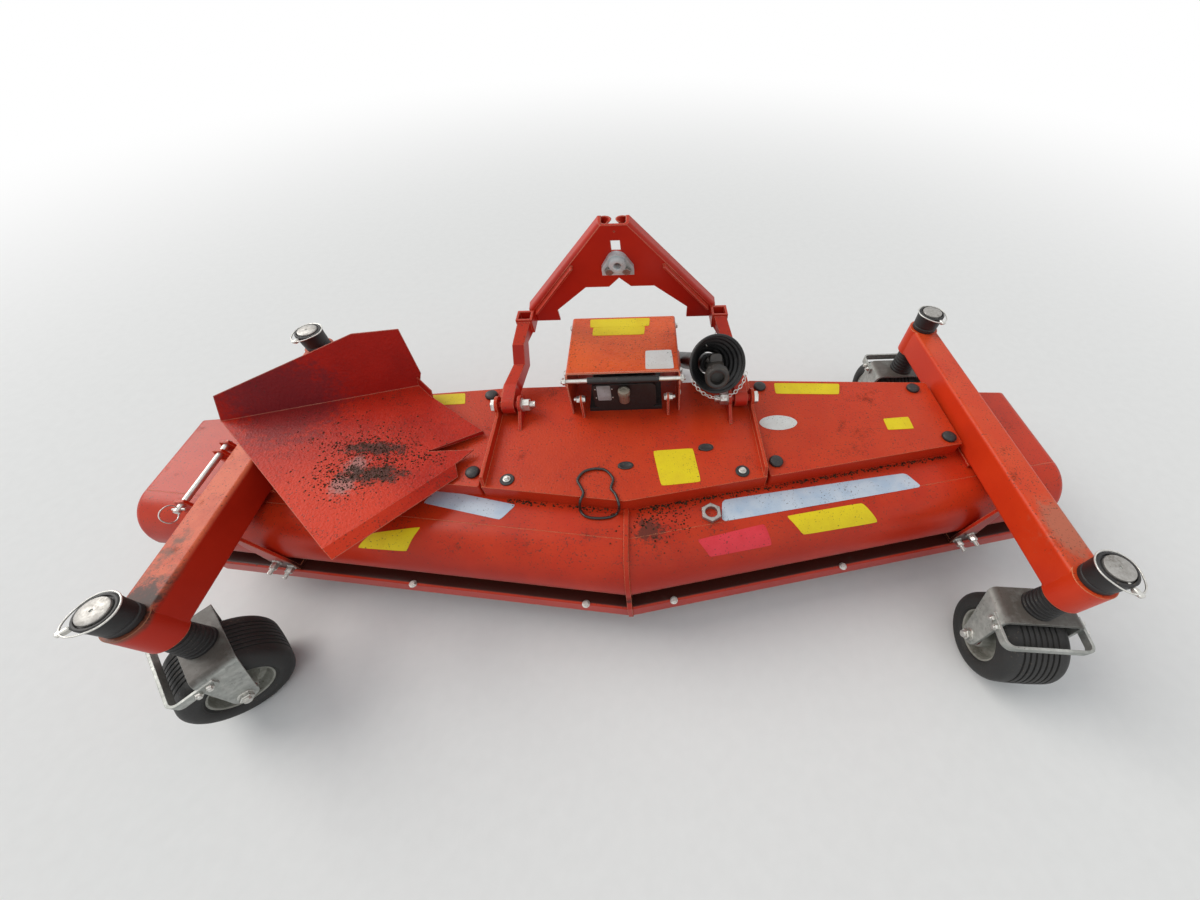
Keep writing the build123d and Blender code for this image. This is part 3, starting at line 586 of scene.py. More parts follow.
# %% Metals, rubber and plastic
def zinc(name, light, dark, dirt, rough, caked=None):
    """Weathered zinc with faint crystal patches; caked gives the height of a flat face that holds dirt."""
    material, tree, shader, place = new_material(name)
    crystals = add(tree, "ShaderNodeTexVoronoi", {"Vector": place, "Scale": 130.0, "Randomness": 1.0})
    tone = add(tree, "ShaderNodeSeparateColor", {0: crystals.outputs["Color"]}).outputs[0]
    cloud = noise(tree, place, 24.0, 8.0, 0.65)
    both = plus(tree, times(tree, tone, 0.14), times(tree, cloud, 0.8))
    soil = use(tree, grime, Vector=place, Scale=20.0, Amount=dirt, Upward=0.4)
    edge = use(tree, edges, Vector=place, Radius=0.002, Wear=0.6)
    colour = blend(tree, ramp(tree, both, 0.28, 0.72), dark, light)
    mask = soil["Mask"]
    if caked:
        height = split(tree, place)["Z"]
        above = ramp(tree, height, caked - 0.012, caked - 0.002)
        below = ramp(tree, height, caked + 0.004, caked + 0.02, 1.0, 0.0)
        near = times(tree, above, below)
        mask = larger(tree, mask, times(tree, near, ramp(tree, cloud, 0.25, 0.5, 0.6, 1.0)))
    colour = blend(tree, times(tree, mask, 0.85), colour, DIRT)
    colour = blend(tree, times(tree, soil["Specks"], 0.6), colour, DIRT)
    colour = blend(tree, times(tree, edge["Edge"], 0.7), colour, light)
    metal = ramp(tree, mask, 0.1, 0.8, 0.55, 0.05)
    dull = ramp(tree, both, 0.2, 0.9, rough + 0.12, rough - 0.05)
    connect(
        tree, shader, {"Base Color": colour, "Metallic": metal, "Roughness": dull, "Normal": edge["Normal"]}
    )
    return material


def dusty_black(name, base, dust, amount, rough, fine, depth):
    """Rubber, plastic or black paint with dust lying in its fine texture."""
    material, tree, shader, place = new_material(name)
    soil = use(tree, grime, Vector=place, Scale=7.0, Amount=amount, Upward=1.0)
    edge = use(tree, edges, Vector=place, Radius=0.002, Wear=0.5)
    skin = use(tree, pebble, Vector=place, Scale=fine, Depth=depth, Normal=edge["Normal"])
    veil = noise(tree, place, 26.0, 9.0, 0.75)
    colour = blend(tree, ramp(tree, veil, 0.35, 0.75, 0.0, 0.30), base, dust)
    colour = blend(tree, times(tree, soil["Mask"], 0.65), colour, dust)
    colour = blend(tree, times(tree, soil["Specks"], 0.3), colour, DUST)
    colour = blend(tree, times(tree, edge["Edge"], 0.5), colour, dust)
    dull = ramp(tree, veil, 0.3, 0.7, rough - 0.07, rough + 0.1)
    connect(tree, shader, {"Base Color": colour, "Roughness": dull, "Normal": skin["Normal"]})
    return material


def steel(name, bright, brown, rust, rough):
    """Bare steel that turns brown in patches."""
    material, tree, shader, place = new_material(name)
    soil = use(tree, grime, Vector=place, Scale=22.0, Amount=rust, Upward=0.2)
    scratches = noise(tree, place, 120.0, 5.0, 0.7)
    edge = use(tree, edges, Vector=place, Radius=0.001, Wear=0.5)
    colour = blend(tree, ramp(tree, scratches, 0.3, 0.7, 0.0, 0.35), bright, brown)
    colour = blend(tree, soil["Mask"], colour, brown)
    metal = ramp(tree, soil["Mask"], 0.0, 1.0, 0.92, 0.25)
    dull = ramp(tree, scratches, 0.3, 0.7, rough, rough + 0.18)
    connect(
        tree, shader, {"Base Color": colour, "Metallic": metal, "Roughness": dull, "Normal": edge["Normal"]}
    )
    return material


print("zinc, dusty black and steel ready")

# %% [markdown]
# ### Tones of metal, rubber and plastic
# The same three functions give fourteen finishes. Rubber and plastic are darker than the dust on them,
# and bare steel is lighter than its brown, so each finish needs both tones.

# %% Tones of metal, rubber and plastic
FORK_TOP = 0.235
galvanised = zinc("galvanised", rgb(0.50, 0.51, 0.48), rgb(0.30, 0.31, 0.29), 0.22, 0.45, FORK_TOP)
rim_paint = zinc("rim_zinc", rgb(0.40, 0.40, 0.36), rgb(0.24, 0.24, 0.21), 0.3, 0.55)
rubber = dusty_black(
    "black_rubber", rgb(0.010, 0.010, 0.011), rgb(0.045, 0.038, 0.032), 0.2, 0.5, 300.0, 0.15
)
tyre_rubber = dusty_black(
    "tyre_rubber", rgb(0.013, 0.013, 0.013), rgb(0.050, 0.046, 0.040), 0.3, 0.62, 260.0, 0.3
)
plastic = dusty_black(
    "black_plastic", rgb(0.010, 0.010, 0.011), rgb(0.055, 0.05, 0.045), 0.22, 0.36, 300.0, 0.1
)
iron = dusty_black("black_iron", rgb(0.009, 0.009, 0.009), rgb(0.030, 0.024, 0.020), 0.3, 0.5, 150.0, 0.5)
bare_steel = steel("bare_steel", rgb(0.58, 0.57, 0.54), rgb(0.12, 0.075, 0.045), 0.35, 0.32)
blade_steel = steel("blade_steel", rgb(0.42, 0.40, 0.38), rgb(0.13, 0.07, 0.04), 0.6, 0.42)
plug_brass = steel("plug_brass", rgb(0.30, 0.27, 0.22), rgb(0.13, 0.11, 0.09), 0.5, 0.42)
bolt_zinc = steel("bolt_zinc", rgb(0.68, 0.68, 0.65), rgb(0.22, 0.18, 0.13), 0.22, 0.26)
dull_bolt = steel("dull_bolt", rgb(0.30, 0.29, 0.27), rgb(0.07, 0.05, 0.04), 0.45, 0.4)
cap_zinc = steel("cap_zinc", rgb(0.42, 0.41, 0.39), rgb(0.14, 0.12, 0.10), 0.45, 0.42)
wire_black = dusty_black("black_wire", rgb(0.012, 0.011, 0.011), rgb(0.10, 0.06, 0.04), 0.3, 0.35, 200.0, 0.2)
joint_iron = dusty_black(
    "joint_iron", rgb(0.022, 0.021, 0.020), rgb(0.13, 0.095, 0.065), 0.5, 0.36, 220.0, 0.3
)
print("materials so far", len(bpy.data.materials))

# %% [markdown]
# ## Film, plate and dried grass
# Stickers are plastic film with an even colour, and the rating plate and the latch are plated metal
# under a thin grey bloom, which looks much the same from a step away, so one function makes both. Dried
# grass is dull all over and needs only two browns.


# %% Film, plate and dried grass
def film(name, main, other, dirt, rough):
    """A plain printed or plated face: even colour that drifts in clouds, with dirt in its fine skin."""
    material, tree, shader, place = new_material(name)
    soil = use(tree, grime, Vector=place, Scale=16.0, Amount=dirt, Upward=0.3)
    clouds = noise(tree, place, 18.0, 5.0, 0.6)
    skin = use(tree, pebble, Vector=place, Scale=230.0, Depth=0.25, Normal=surface_normal(tree))
    colour = blend(tree, ramp(tree, clouds, 0.35, 0.7), main, other)
    colour = blend(tree, times(tree, soil["Mask"], 0.5), colour, DUST)
    colour = blend(tree, times(tree, soil["Specks"], 0.8), colour, DIRT)
    dull = ramp(tree, clouds, 0.3, 0.7, rough, rough + 0.15)
    connect(tree, shader, {"Base Color": colour, "Roughness": dull, "Normal": skin["Normal"]})
    shader.inputs["Specular IOR Level"].default_value = 0.3
    return material


film_yellow = film("film_yellow", rgb(0.84, 0.66, 0.010), rgb(0.78, 0.58, 0.014), 0.14, 0.42)
label_metal = film("label_metal", rgb(0.43, 0.48, 0.49), rgb(0.22, 0.23, 0.22), 0.4, 0.35)
bright_steel = film("bright_steel", rgb(0.62, 0.67, 0.68), rgb(0.36, 0.38, 0.37), 0.25, 0.28)
film_white = film("film_white", rgb(0.78, 0.78, 0.76), rgb(0.68, 0.66, 0.62), 0.2, 0.34)
film_pale = film("film_pale", rgb(0.56, 0.64, 0.73), rgb(0.42, 0.54, 0.68), 0.2, 0.34)
film_pink = film("film_pink", rgb(0.78, 0.045, 0.065), rgb(0.68, 0.032, 0.045), 0.15, 0.42)
hub_red = red_paint(
    "hub_red", rgb(0.16, 0.012, 0.012), rgb(0.10, 0.010, 0.010), rgb(0.2, 0.03, 0.02), 0.3,
    260.0, 0.2, 0.4, 0.5, rgb(0.3, 0.1, 0.08), 0.4,
)
cuttings, tree, shader, place = new_material("dried_cuttings")
mixed = noise(tree, place, 150.0, 3.0, 0.6)
tone = blend(tree, ramp(tree, mixed, 0.35, 0.65), rgb(0.012, 0.008, 0.006), rgb(0.09, 0.055, 0.03))
connect(tree, shader, {"Base Color": tone, "Roughness": 0.9, "Specular IOR Level": 0.1})
print("finishes so far", len(bpy.data.materials))

# %% [markdown]
# ## Marks on the deflector and the beams
# The discharge deflector lies on top with its paint rubbed through. Two places are worn to a grey
# sheen where clods hit it and two brown smears cross it. Its front corner is lightened with painted
# light, and its upright rear flange is darkened with painted shade. The left beam carries a brown crust
# and the right one a rubbed patch, and the right beam's paint is a lighter copy of the left's, as
# painted sunlight. Each place is a soft round mask worked out from its distance to a point, broken up
# by noise, so that the marks stay where they belong when the part is turned.


# %% Deflector and beam marks
def deflector_marks(tree, place, colour):
    """Painted light on the front corner, grey worn patches, two brown smears and painted shade on the rear
    flange.
    """
    # Painted light: the front corner is made a brighter orange red.
    corner = spot(tree, place, (-0.70, -0.33, 0.385), 0.26, (1.0, 1.0, 0.3), 0.15)
    colour = blend(tree, times(tree, corner, 0.8), colour, rgb(0.78, 0.055, 0.018))
    worn = larger(
        tree,
        spot(tree, place, (-0.665, -0.205, 0.380), 0.040, (1.0, 1.0, 0.3)),
        spot(tree, place, (-0.655, -0.150, 0.378), 0.036, (1.0, 1.0, 0.3)),
    )
    colour = blend(tree, times(tree, worn, 0.6), colour, rgb(0.36, 0.28, 0.26))
    smear = spot(tree, place, (-0.605, -0.172, 0.376), 0.075, (0.8, 2.2, 0.3), 0.8)
    colour = blend(tree, times(tree, smear, 0.95), colour, rgb(0.055, 0.020, 0.013))
    upper = spot(tree, place, (-0.625, -0.092, 0.378), 0.075, (0.8, 2.8, 0.3), 1.0)
    colour = blend(tree, times(tree, upper, 0.9), colour, rgb(0.05, 0.018, 0.012))
    # Painted shade: the upright rear flange is darkened to a dark purple red.
    rear_flange_shade = spot(tree, place, (-0.88, 0.03, 0.43), 0.17, (1.0, 1.0, 1.0))
    return blend(tree, times(tree, rear_flange_shade, 0.55), colour, rgb(0.09, 0.02, 0.03))


def beam_marks(tree, place, colour):
    """Brown crust on the left beam's top, thicker towards its front end, with bare patches in it."""
    axes = split(tree, place)
    top = ramp(tree, axes["Z"], 0.380, 0.394)
    forward = ramp(tree, axes["Y"], -0.52, -0.18, 1.0, 0.0)
    crust = noise(tree, place, 22.0, 9.0, 0.7)
    level = plus(tree, crust, times(tree, forward, 0.30))
    cover = times(tree, ramp(tree, level, 0.64, 0.84), top)
    colour = blend(tree, times(tree, cover, 0.85), colour, rgb(0.15, 0.065, 0.038))
    packed = times(tree, spot(tree, place, (-0.935, -0.475, 0.394), 0.055, (1.0, 1.0, 0.8), 0.9), top)
    return blend(tree, times(tree, packed, 0.85), colour, rgb(0.035, 0.022, 0.018))


def right_beam_marks(tree, place, colour):
    """A rubbed grey patch on the right beam's top near its front end."""
    rubbed = spot(tree, place, (0.945, -0.40, 0.395), 0.075, (1.5, 0.8, 0.6), 0.35)
    return blend(tree, times(tree, rubbed, 0.6), colour, rgb(0.40, 0.19, 0.12))


paint_deflector = red_paint(
    "paint_deflector", rgb(0.44, 0.014, 0.008), rgb(0.32, 0.010, 0.007), rgb(0.60, 0.034, 0.014), 0.85,
    170.0, 1.0, 0.05, 0.7, rgb(0.70, 0.26, 0.17), 0.40, deflector_marks, 0.10,
)
# The right beam's paint is lighter and more orange than the left's: painted sunlight on its lit side.
paint_beam_sunlit = red_paint(
    "paint_beam_sunlit", rgb(0.68, 0.046, 0.009), rgb(0.60, 0.034, 0.008), rgb(0.70, 0.075, 0.018), 0.9,
    320.0, 0.10, 0.06, 0.7, rgb(0.84, 0.36, 0.18), 0.38, right_beam_marks,
)
paint_beam_marked = red_paint(
    "paint_beam_left", rgb(0.50, 0.022, 0.007), SHADE, rgb(0.76, 0.15, 0.060), 1.0,
    320.0, 0.10, 0.16, 0.7, rgb(0.64, 0.25, 0.13), 0.42, beam_marks,
)
print("marked paints", paint_deflector.name, paint_beam_sunlit.name, paint_beam_marked.name)

# %% [markdown]
# ## Materials on the CAD nodes
# Most of the sheet metal already has its right form in the CAD model, so it only changes its material.
# A table of materials and node names says which.

# %% Materials on the CAD nodes
node_materials = {
    paint_deck: (
        "deck_pan", "hood_left", "hood_right", "skirt_left", "skirt_right", "front_rail", "nose_plate",
        "beam_braces", "discharge_hinge",
    ),
    paint_cover: ("belt_cover_left", "belt_cover_right", "centre_plate"),
    paint_guard: ("gearbox_guard",),
    paint_beam_sunlit: ("beam_right",),
    paint_beam_marked: ("beam_left",),
    paint_hitch: ("hitch_triangle", "hitch_arms", "hinge_brackets"),
    paint_deflector: ("deflector",),
    rubber: ("cover_knobs",),
    iron: ("gearbox", "spindle_housings", "guard_rod", "drive_joints"),
    bare_steel: ("input_shaft",),
    plug_brass: ("filler_plug",),
    bright_steel: ("hitch_latch",),
    plastic: ("drive_tube", "drive_bells"),
}


def dress(name, material):
    """A CAD node keeps its shape and gets a material of this lesson."""
    slots = nodes[name].data.materials
    slots.clear()
    slots.append(material)


for material, names in node_materials.items():
    for name in names:
        dress(name, material)
CASTER_MATERIALS = {"fork_": galvanised, "spacers_": plastic, "tyre_": tyre_rubber, "rim_": rim_paint}
for where in ("front_right", "front_left", "rear_right", "rear_left"):
    for prefix, material in CASTER_MATERIALS.items():
        dress(prefix + where, material)
for name in nodes:
    if name.startswith("rotor_"):
        dress(name, blade_steel)
print("nodes without a material", [n for n in nodes if not nodes[n].data.materials])

# %% [markdown]
# ## Caster wheels
# The four wheels carry a wide rubber tyre with eight ribs running round its tread. A tyre is the same
# section all the way round, so the plainest way to make one is to draw half a section as radius against
# width and carry it once round the axle. The grooves are real steps in the section, so they also
# show at the edge of the wheel, where a bump would not.

# %% Wheels
STEMS = {
    "front_right": (0.935, -0.512, 174.0),
    "front_left": (-0.935, -0.512, 136.0),
    "rear_right": (0.935, 0.309, 0.0),
    "rear_left": (-0.935, 0.309, 0.0),
}
X_OUT, Z_UP = (1, 0, 0), (0, 0, 1)
TRAIL, AXLE_Z = 0.032, 0.105
TYRE_R, TREAD_HALF, TYRE_HALF = 0.105, 0.050, 0.075
RIBS, GROOVE = 8, 0.0032


def at_caster(part, where):
    """A part drawn with Y towards the wheel and the stem at the origin, turned and taken to its stem."""
    x, y, heading = STEMS[where]
    c, s = cos(radians(heading)), sin(radians(heading))
    points, faces = part
    return points @ np.array([[c, s, 0], [-s, c, 0], [0, 0, 1]]) + (x, y, 0.0), faces


def caster_piece(name, where, parts, body, material):
    """One piece of a caster; its parts are drawn at the stem's origin, and it rides on the named body."""
    turned = [at_caster(part, where) for part in parts]
    return make_piece(name + "_" + where, turned, body + "_" + where, material)


def tyre_profile():
    """Radius against width: ribs and grooves with a slight crown, an elliptical shoulder, then the bead."""
    pitch = 2 * TREAD_HALF / RIBS
    step = np.array([0.0, 0.13, 0.2, 0.8, 0.87])
    down = np.array([1.0, 1.0, 0.0, 0.0, 1.0])
    width = (-TREAD_HALF + pitch * (np.arange(RIBS)[:, None] + step)).ravel()[2:-1]
    depth = np.tile(down, RIBS)[2:-1] * GROOVE
    radius = TYRE_R - 0.0018 * (width / TREAD_HALF) ** 2 - depth
    turn = np.linspace(0.12, np.pi / 2, 9)
    shoulder_w = TREAD_HALF + (TYRE_HALF - TREAD_HALF) * np.sin(turn)
    shoulder_r = TYRE_R - 0.0018 - 0.024 * (1 - np.cos(turn))
    wall = np.array(
        [[0.074, TYRE_HALF], [0.068, 0.0735], [0.0655, 0.0715], [0.0645, 0.0725], [0.0605, 0.067]]
    )
    right_half = np.concatenate([np.stack([shoulder_r, shoulder_w], -1), wall])
    left_half = right_half[::-1] * (1, -1)
    return np.concatenate([left_half, np.stack([radius, width], -1), right_half])


print("ribs", RIBS, "grooves", GROOVE, "deep")

# %% [markdown]
# ### Rims and hubs
# The rim is turned too: a lip for the bead of the tyre, a bowl, and a hub round the axle. Half of its
# section is drawn and the other half is its mirror image. A small red seal closes the hub on each side.

# %% Rims and hubs
rim_half = np.array([
    (0.0600, 0.060), (0.0618, 0.0655), (0.0600, 0.0672), (0.0565, 0.0660), (0.0545, 0.0620), (0.0530, 0.048),
    (0.0500, 0.042), (0.0380, 0.040), (0.0310, 0.046), (0.0285, 0.054), (0.0280, 0.074), (0.0265, 0.0765),
    (0.0101, 0.0765),
])
rim_profile = np.concatenate([rim_half, rim_half[::-1] * (1, -1)])
hub_profile = np.array(
    [(0.0105, 0.0700), (0.0240, 0.0700), (0.0240, 0.0790), (0.0225, 0.0802), (0.0105, 0.0802)]
)
tyre_section = tyre_profile()
axle = (0.0, TRAIL, AXLE_Z)
for where in STEMS:
    tyre = put(lathe(tyre_section, 72, "loop"), axle, X_OUT)
    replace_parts(caster_piece("tread", where, [tyre], "wheel", tyre_rubber), "tyre_" + where)
    rim = put(lathe(rim_profile, 56, "loop"), axle, X_OUT)
    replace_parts(caster_piece("wheel_rim", where, [rim], "wheel", rim_paint), "rim_" + where)
    hubs = [put(lathe(hub_profile, 32, "loop"), axle, (side, 0, 0)) for side in (-1, 1)]
    caster_piece("hub_seal", where, hubs, "wheel", hub_red)
print("tyre section points", len(tyre_section), "widest", round(float(tyre_section[:, 1].max()) * 2000), "mm")

# %% [markdown]
# ## Sleeves, caps and bolts of the casters
# Above and below each beam end the stem passes through a ribbed rubber sleeve, and on top sits a zinc
# disc held by a pin with a sprung wire. The sleeve is again a turned section, with a rib every few
# millimetres. The wire is a circle whose radius swells on one side, where it meets the pin.


# %% Sleeves, caps and bolts of the casters
def ribbed(low, high, wide, narrow, count, bore=0.0202):
    """Sleeve section: straight rings joined by shallow necks, its size drifting from wide to narrow."""
    pitch = (high - low) / count
    step = np.array([0.0, 0.08, 0.62, 0.72, 0.98])
    in_by = np.array([0.0012, 0.0, 0.0, 0.0026, 0.0026])
    level = (low + pitch * (np.arange(count)[:, None] + step)).ravel()
    radius = np.interp(level, [low, high], [wide, narrow]) - np.tile(in_by, count)
    outer = np.stack([radius, level], -1)
    return np.concatenate([[(bore, low)], outer, [(radius[-1], high), (bore, high)]])


def sprung_wire(centre, radius, swell, towards, wire, sides=48):
    """Ring in a level plane whose radius grows by the fourth power of the cosine towards one side."""
    turn = np.linspace(0, 2 * np.pi, sides, endpoint=False)
    reach = radius + swell * np.maximum(0, np.cos(turn - radians(towards))) ** 4
    path = np.stack([reach * np.cos(turn), reach * np.sin(turn), 0 * turn], -1) + centre
    return tube(path, wire, 8, closed=True)


def squarish(value, power):
    """Keeps the sign of a sine or cosine and raises its size to 2 / power, so a circle turns squarer."""
    return np.sign(value) * np.abs(value) ** (2 / power)


def pill(half_sizes, power=3.0, rows=10, columns=16):
    """Rounded block: a ball whose sine and cosine are raised to a power below one."""
    lat = np.linspace(-np.pi / 2 + 0.12, np.pi / 2 - 0.12, rows)
    lon = np.linspace(0, 2 * np.pi, columns, endpoint=False)
    ring = np.stack([squarish(np.cos(lon), power), squarish(np.sin(lon), power)], -1)
    points = np.empty((rows, columns, 3))
    points[..., :2] = squarish(np.cos(lat), power)[:, None, None] * ring[None]
    points[..., 2] = squarish(np.sin(lat), power)[:, None]
    return points.reshape(-1, 3) * half_sizes, tube_faces(rows, columns, False)


print("sleeve and wire shapes ready")

# %% [markdown]
# ### Dressing the four stems
# Each stem gets its two sleeves, the disc, the pin with its wire, and the bolts of its fork. Every pin
# points its own way, given in degrees from the X axis and turned back by the heading of the caster.

# %% Dressing the four stems
PIN_SIDE = {"front_right": 278.0, "front_left": 226.0, "rear_right": 285.0, "rear_left": 250.0}
lower_sleeve = ribbed(0.235, 0.3095, 0.0345, 0.0300, 7)
upper_sleeve = np.array([
    (0.0202, 0.3955), (0.0320, 0.3955), (0.0335, 0.3975), (0.0335, 0.4060), (0.0320, 0.4075),
    (0.0320, 0.4100), (0.0340, 0.4120), (0.0350, 0.4330), (0.0358, 0.4350), (0.0358, 0.4470),
    (0.0335, 0.4490), (0.0300, 0.4490), (0.0295, 0.4450), (0.0202, 0.4450),
])
cap_disc = np.array([
    (0.0262, 0.4455), (0.0268, 0.4500), (0.0262, 0.4522), (0.0240, 0.4532), (0.0100, 0.4540),
    (0.0032, 0.4540), (0.0024, 0.4520),
])
for where, towards in PIN_SIDE.items():
    sleeves = [lathe(lower_sleeve, 40, "loop"), lathe(upper_sleeve, 40, "loop")]
    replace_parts(caster_piece("sleeve", where, sleeves, "swivel", rubber), "spacers_" + where)
    local = towards - STEMS[where][2]
    reach = np.array([cos(radians(local)), sin(radians(local)), 0.0])
    pin = put(pill((0.0055, 0.0050, 0.0085)), reach * 0.0440 + (0, 0, 0.4440), reach)
    eye = put(pill((0.0035, 0.0062, 0.0042)), reach * 0.0520 + (0, 0, 0.4462), reach)
    stub = tube([reach * 0.020 + (0, 0, 0.4435), reach * 0.044 + (0, 0, 0.4435)], 0.0032, 10)
    wire = sprung_wire((0, 0, 0.4475), 0.0378, 0.012, local, 0.0017)
    caster_piece("cap", where, [lathe(cap_disc, 40)], "swivel", cap_zinc)
    caster_piece("cap_pin", where, [pin, eye, stub, wire], "swivel", bolt_zinc)
    fork_bolts = []
    for side in (-1, 1):
        outwards = (side, 0, 0)
        for along in (0.026, 0.046):
            loop_bolt = hex_bolt(0.013, 0.0068, 0.0, 0.004)
            fork_bolts.append(put(loop_bolt, (side * 0.0948, along, 0.212), outwards, 0.3))
        axle_nut = hex_bolt(0.024, 0.0130, 0.030, 0.006)
        fork_bolts.append(put(axle_nut, (side * 0.0888, TRAIL, AXLE_Z), outwards, 0.2))
    caster_piece("fork_bolts", where, fork_bolts, "swivel", bolt_zinc)
print("caster dressing on", len(PIN_SIDE), "stems")

# %% [markdown]
# ## Drive shaft
# The loose drive shaft leans on the deck with its guard bell open towards the viewer. Inside hangs the
# end of its joint, a forged fork that swells into a ringed locking collar, and a thin chain is slung
# under the rim. The bell is a turned wall with a wave along it.

# %% Drive shaft
HEAD = np.array([0.248, 0.061, 0.484])
TAIL = np.array([0.123, 0.618, 0.062])
BELL_LEN, BELL_WALL = 0.092, 0.0028
shaft_run = (TAIL - HEAD) / np.linalg.norm(TAIL - HEAD)


def bell_section():
    """Wall section: the radius falls from mouth to neck and a cosine wave of five turns runs along it."""
    level = np.linspace(0.004, BELL_LEN, 84)
    radius = np.interp(level, [0, 0.012, 0.072, 0.078, BELL_LEN], [0.0735, 0.0725, 0.0385, 0.0335, 0.0325])
    radius += 0.0024 * np.cos(2 * np.pi * level / 0.0132) * np.interp(
        level, [0, 0.010, 0.070, 0.078], [0.3, 1, 1, 0]
    )
    outer = np.concatenate(
        [[(0.0745, 0.0), (0.0758, 0.0014), (0.0758, 0.0034)], np.stack([radius, level], -1)]
    )
    inner = np.maximum(outer - (BELL_WALL, 0), (0.0272, 0))[::-1]
    return np.concatenate([outer, inner])


print("bell", BELL_LEN, "long, wall", BELL_WALL)

# %% [markdown]
# ### The joint inside the bell
# The fork is forged, so it has no straight edges: it is a rounded rectangle whose two half widths
# change along its length. The collar is turned, with three rings round it and a hollow mouth.


# %% The joint inside the bell
def forged(levels, half_x, half_y, power=4.0, columns=28):
    """Rounded rectangle carried along Z; each level has its own two half widths."""
    turn = np.linspace(0, 2 * np.pi, columns, endpoint=False)
    points = np.empty((len(levels), columns, 3))
    points[..., 0] = np.asarray(half_x)[:, None] * squarish(np.cos(turn), power)
    points[..., 1] = np.asarray(half_y)[:, None] * squarish(np.sin(turn), power)
    points[..., 2] = np.asarray(levels)[:, None]
    return points.reshape(-1, 3), tube_faces(len(levels), columns, False)


def joint_end(centre, inward, droop):
    """Half joint: a neck and short fork on the shaft, the pin, then the loose fork and its hollow collar."""
    fork = forged(
        [-0.014, -0.010, 0.0, 0.014, 0.030, 0.044, 0.054, 0.062],
        [0.012, 0.0190, 0.0230, 0.0236, 0.0225, 0.0215, 0.0235, 0.0262],
        [0.006, 0.0085, 0.0105, 0.0118, 0.0135, 0.0170, 0.0215, 0.0255],
    )
    rings = np.tile([0.0272, 0.0300, 0.0306, 0.0300, 0.0272], 3)
    level = 0.062 + (0.0068 * (np.arange(3)[:, None] + np.array([0.0, 0.14, 0.42, 0.7, 0.84]))).ravel()
    outer = np.stack([rings, level], -1)
    mouth = [
        (0.0285, 0.0822), (0.0262, 0.0846), (0.0205, 0.0850), (0.0178, 0.0836), (0.0172, 0.0660),
        (0.0010, 0.0655),
    ]
    collar = lathe(np.concatenate([[(0.0010, 0.0600), (0.0262, 0.0600)], outer, mouth]), 40)
    neck = lathe([(0.0190, 0.000), (0.0215, 0.002), (0.0215, 0.030), (0.0190, 0.0325), (0.0190, 0.0340)], 28)
    fork_levels, fork_x = [-0.014, -0.006, 0.004, 0.010], [0.0262, 0.0262, 0.0240, 0.0200]
    short_fork = forged(fork_levels, fork_x, [0.0165, 0.0185, 0.0200, 0.0195])
    pin = lathe([(0.0062, -0.027), (0.0078, -0.0255), (0.0078, 0.0255), (0.0062, 0.027)], 16)
    across = np.cross(inward, droop) if abs(np.dot(inward, droop)) < 0.95 else np.array([1.0, 0, 0])
    return [
        put(fork, centre, droop, radians(90)),
        put(collar, centre, droop),
        put(neck, centre, inward),
        put(short_fork, centre, inward),
        put(pin, centre, across),
    ]


section = bell_section()
bells = [
    put(lathe(section, 72, "loop"), HEAD, shaft_run),
    put(lathe(section, 72, "loop"), TAIL, -shaft_run),
]
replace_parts(make_piece("guard_bells", bells, "deck", plastic), "drive_bells")
DROOP = np.array([-0.05, -0.97, 0.24]) / np.linalg.norm([0.05, 0.97, 0.24])
joints = joint_end(HEAD + 0.030 * shaft_run, shaft_run, DROOP)
joints += joint_end(TAIL - 0.058 * shaft_run, -shaft_run, shaft_run)
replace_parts(make_piece("shaft_joints", joints, "deck", joint_iron), "drive_joints")
print("bell section points", len(section))

# %% [markdown]
# ## Bolts
# A machine like this is held together by some sixty visible fasteners, and its looks depend on them
# being where the real ones are. They are all copies of one hexagon bolt with its washer, so a short
# table of places, directions and sizes is enough, and all that sit on one body become one mesh.

# %% Bolts
V_FRONT = (0.1556, -0.9878, 0.0)
paired_bolts = [
    # x, y, z, direction, across flats, head height, washer, thread
    (0.3540, 0.0500, 0.3720, X_OUT, 0.030, 0.0140, 0.040, 0.000),
    (0.2840, 0.0500, 0.3720, (-1, 0, 0), 0.030, 0.0220, 0.038, 0.014),
    (0.1500, 0.0500, 0.4510, X_OUT, 0.017, 0.0095, 0.024, 0.004),
    (0.1500, 0.0780, 0.4540, X_OUT, 0.013, 0.0065, 0.018, 0.000),
    (0.1500, 0.2750, 0.4540, X_OUT, 0.013, 0.0065, 0.018, 0.000),
    (0.1500, 0.0900, 0.3640, X_OUT, 0.013, 0.0065, 0.018, 0.000),
    (0.1500, 0.2400, 0.3640, X_OUT, 0.013, 0.0065, 0.018, 0.000),
    (0.1200, 0.0370, 0.3980, X_OUT, 0.017, 0.0100, 0.022, 0.006),
    (0.1140, 0.0370, 0.3980, (-1, 0, 0), 0.017, 0.0080, 0.022, 0.000),
    (0.2940, -0.1810, 0.3455, Z_UP, 0.013, 0.0068, 0.019, 0.002),
    (0.9080, -0.3030, 0.1860, V_FRONT, 0.016, 0.0200, 0.022, 0.014),
    (0.8840, -0.3068, 0.1640, V_FRONT, 0.016, 0.0180, 0.022, 0.016),
    (0.1100, -0.4340, 0.1500, Z_UP, 0.013, 0.0068, 0.020, 0.000),
    (0.5600, -0.3630, 0.1500, Z_UP, 0.013, 0.0068, 0.020, 0.000),
]
deck_bolts = []
for x, y, z, way, across, height, washer, thread in paired_bolts:
    for side in (-1, 1):
        axis = (side * way[0], way[1], way[2])
        deck_bolts.append(put(hex_bolt(across, height, washer, thread), (side * x, y, z), axis, 0.4 + 9 * x))
make_piece("deck_bolts", deck_bolts, "deck", bolt_zinc, smooth=25)

print("bolts on the deck", len(deck_bolts))

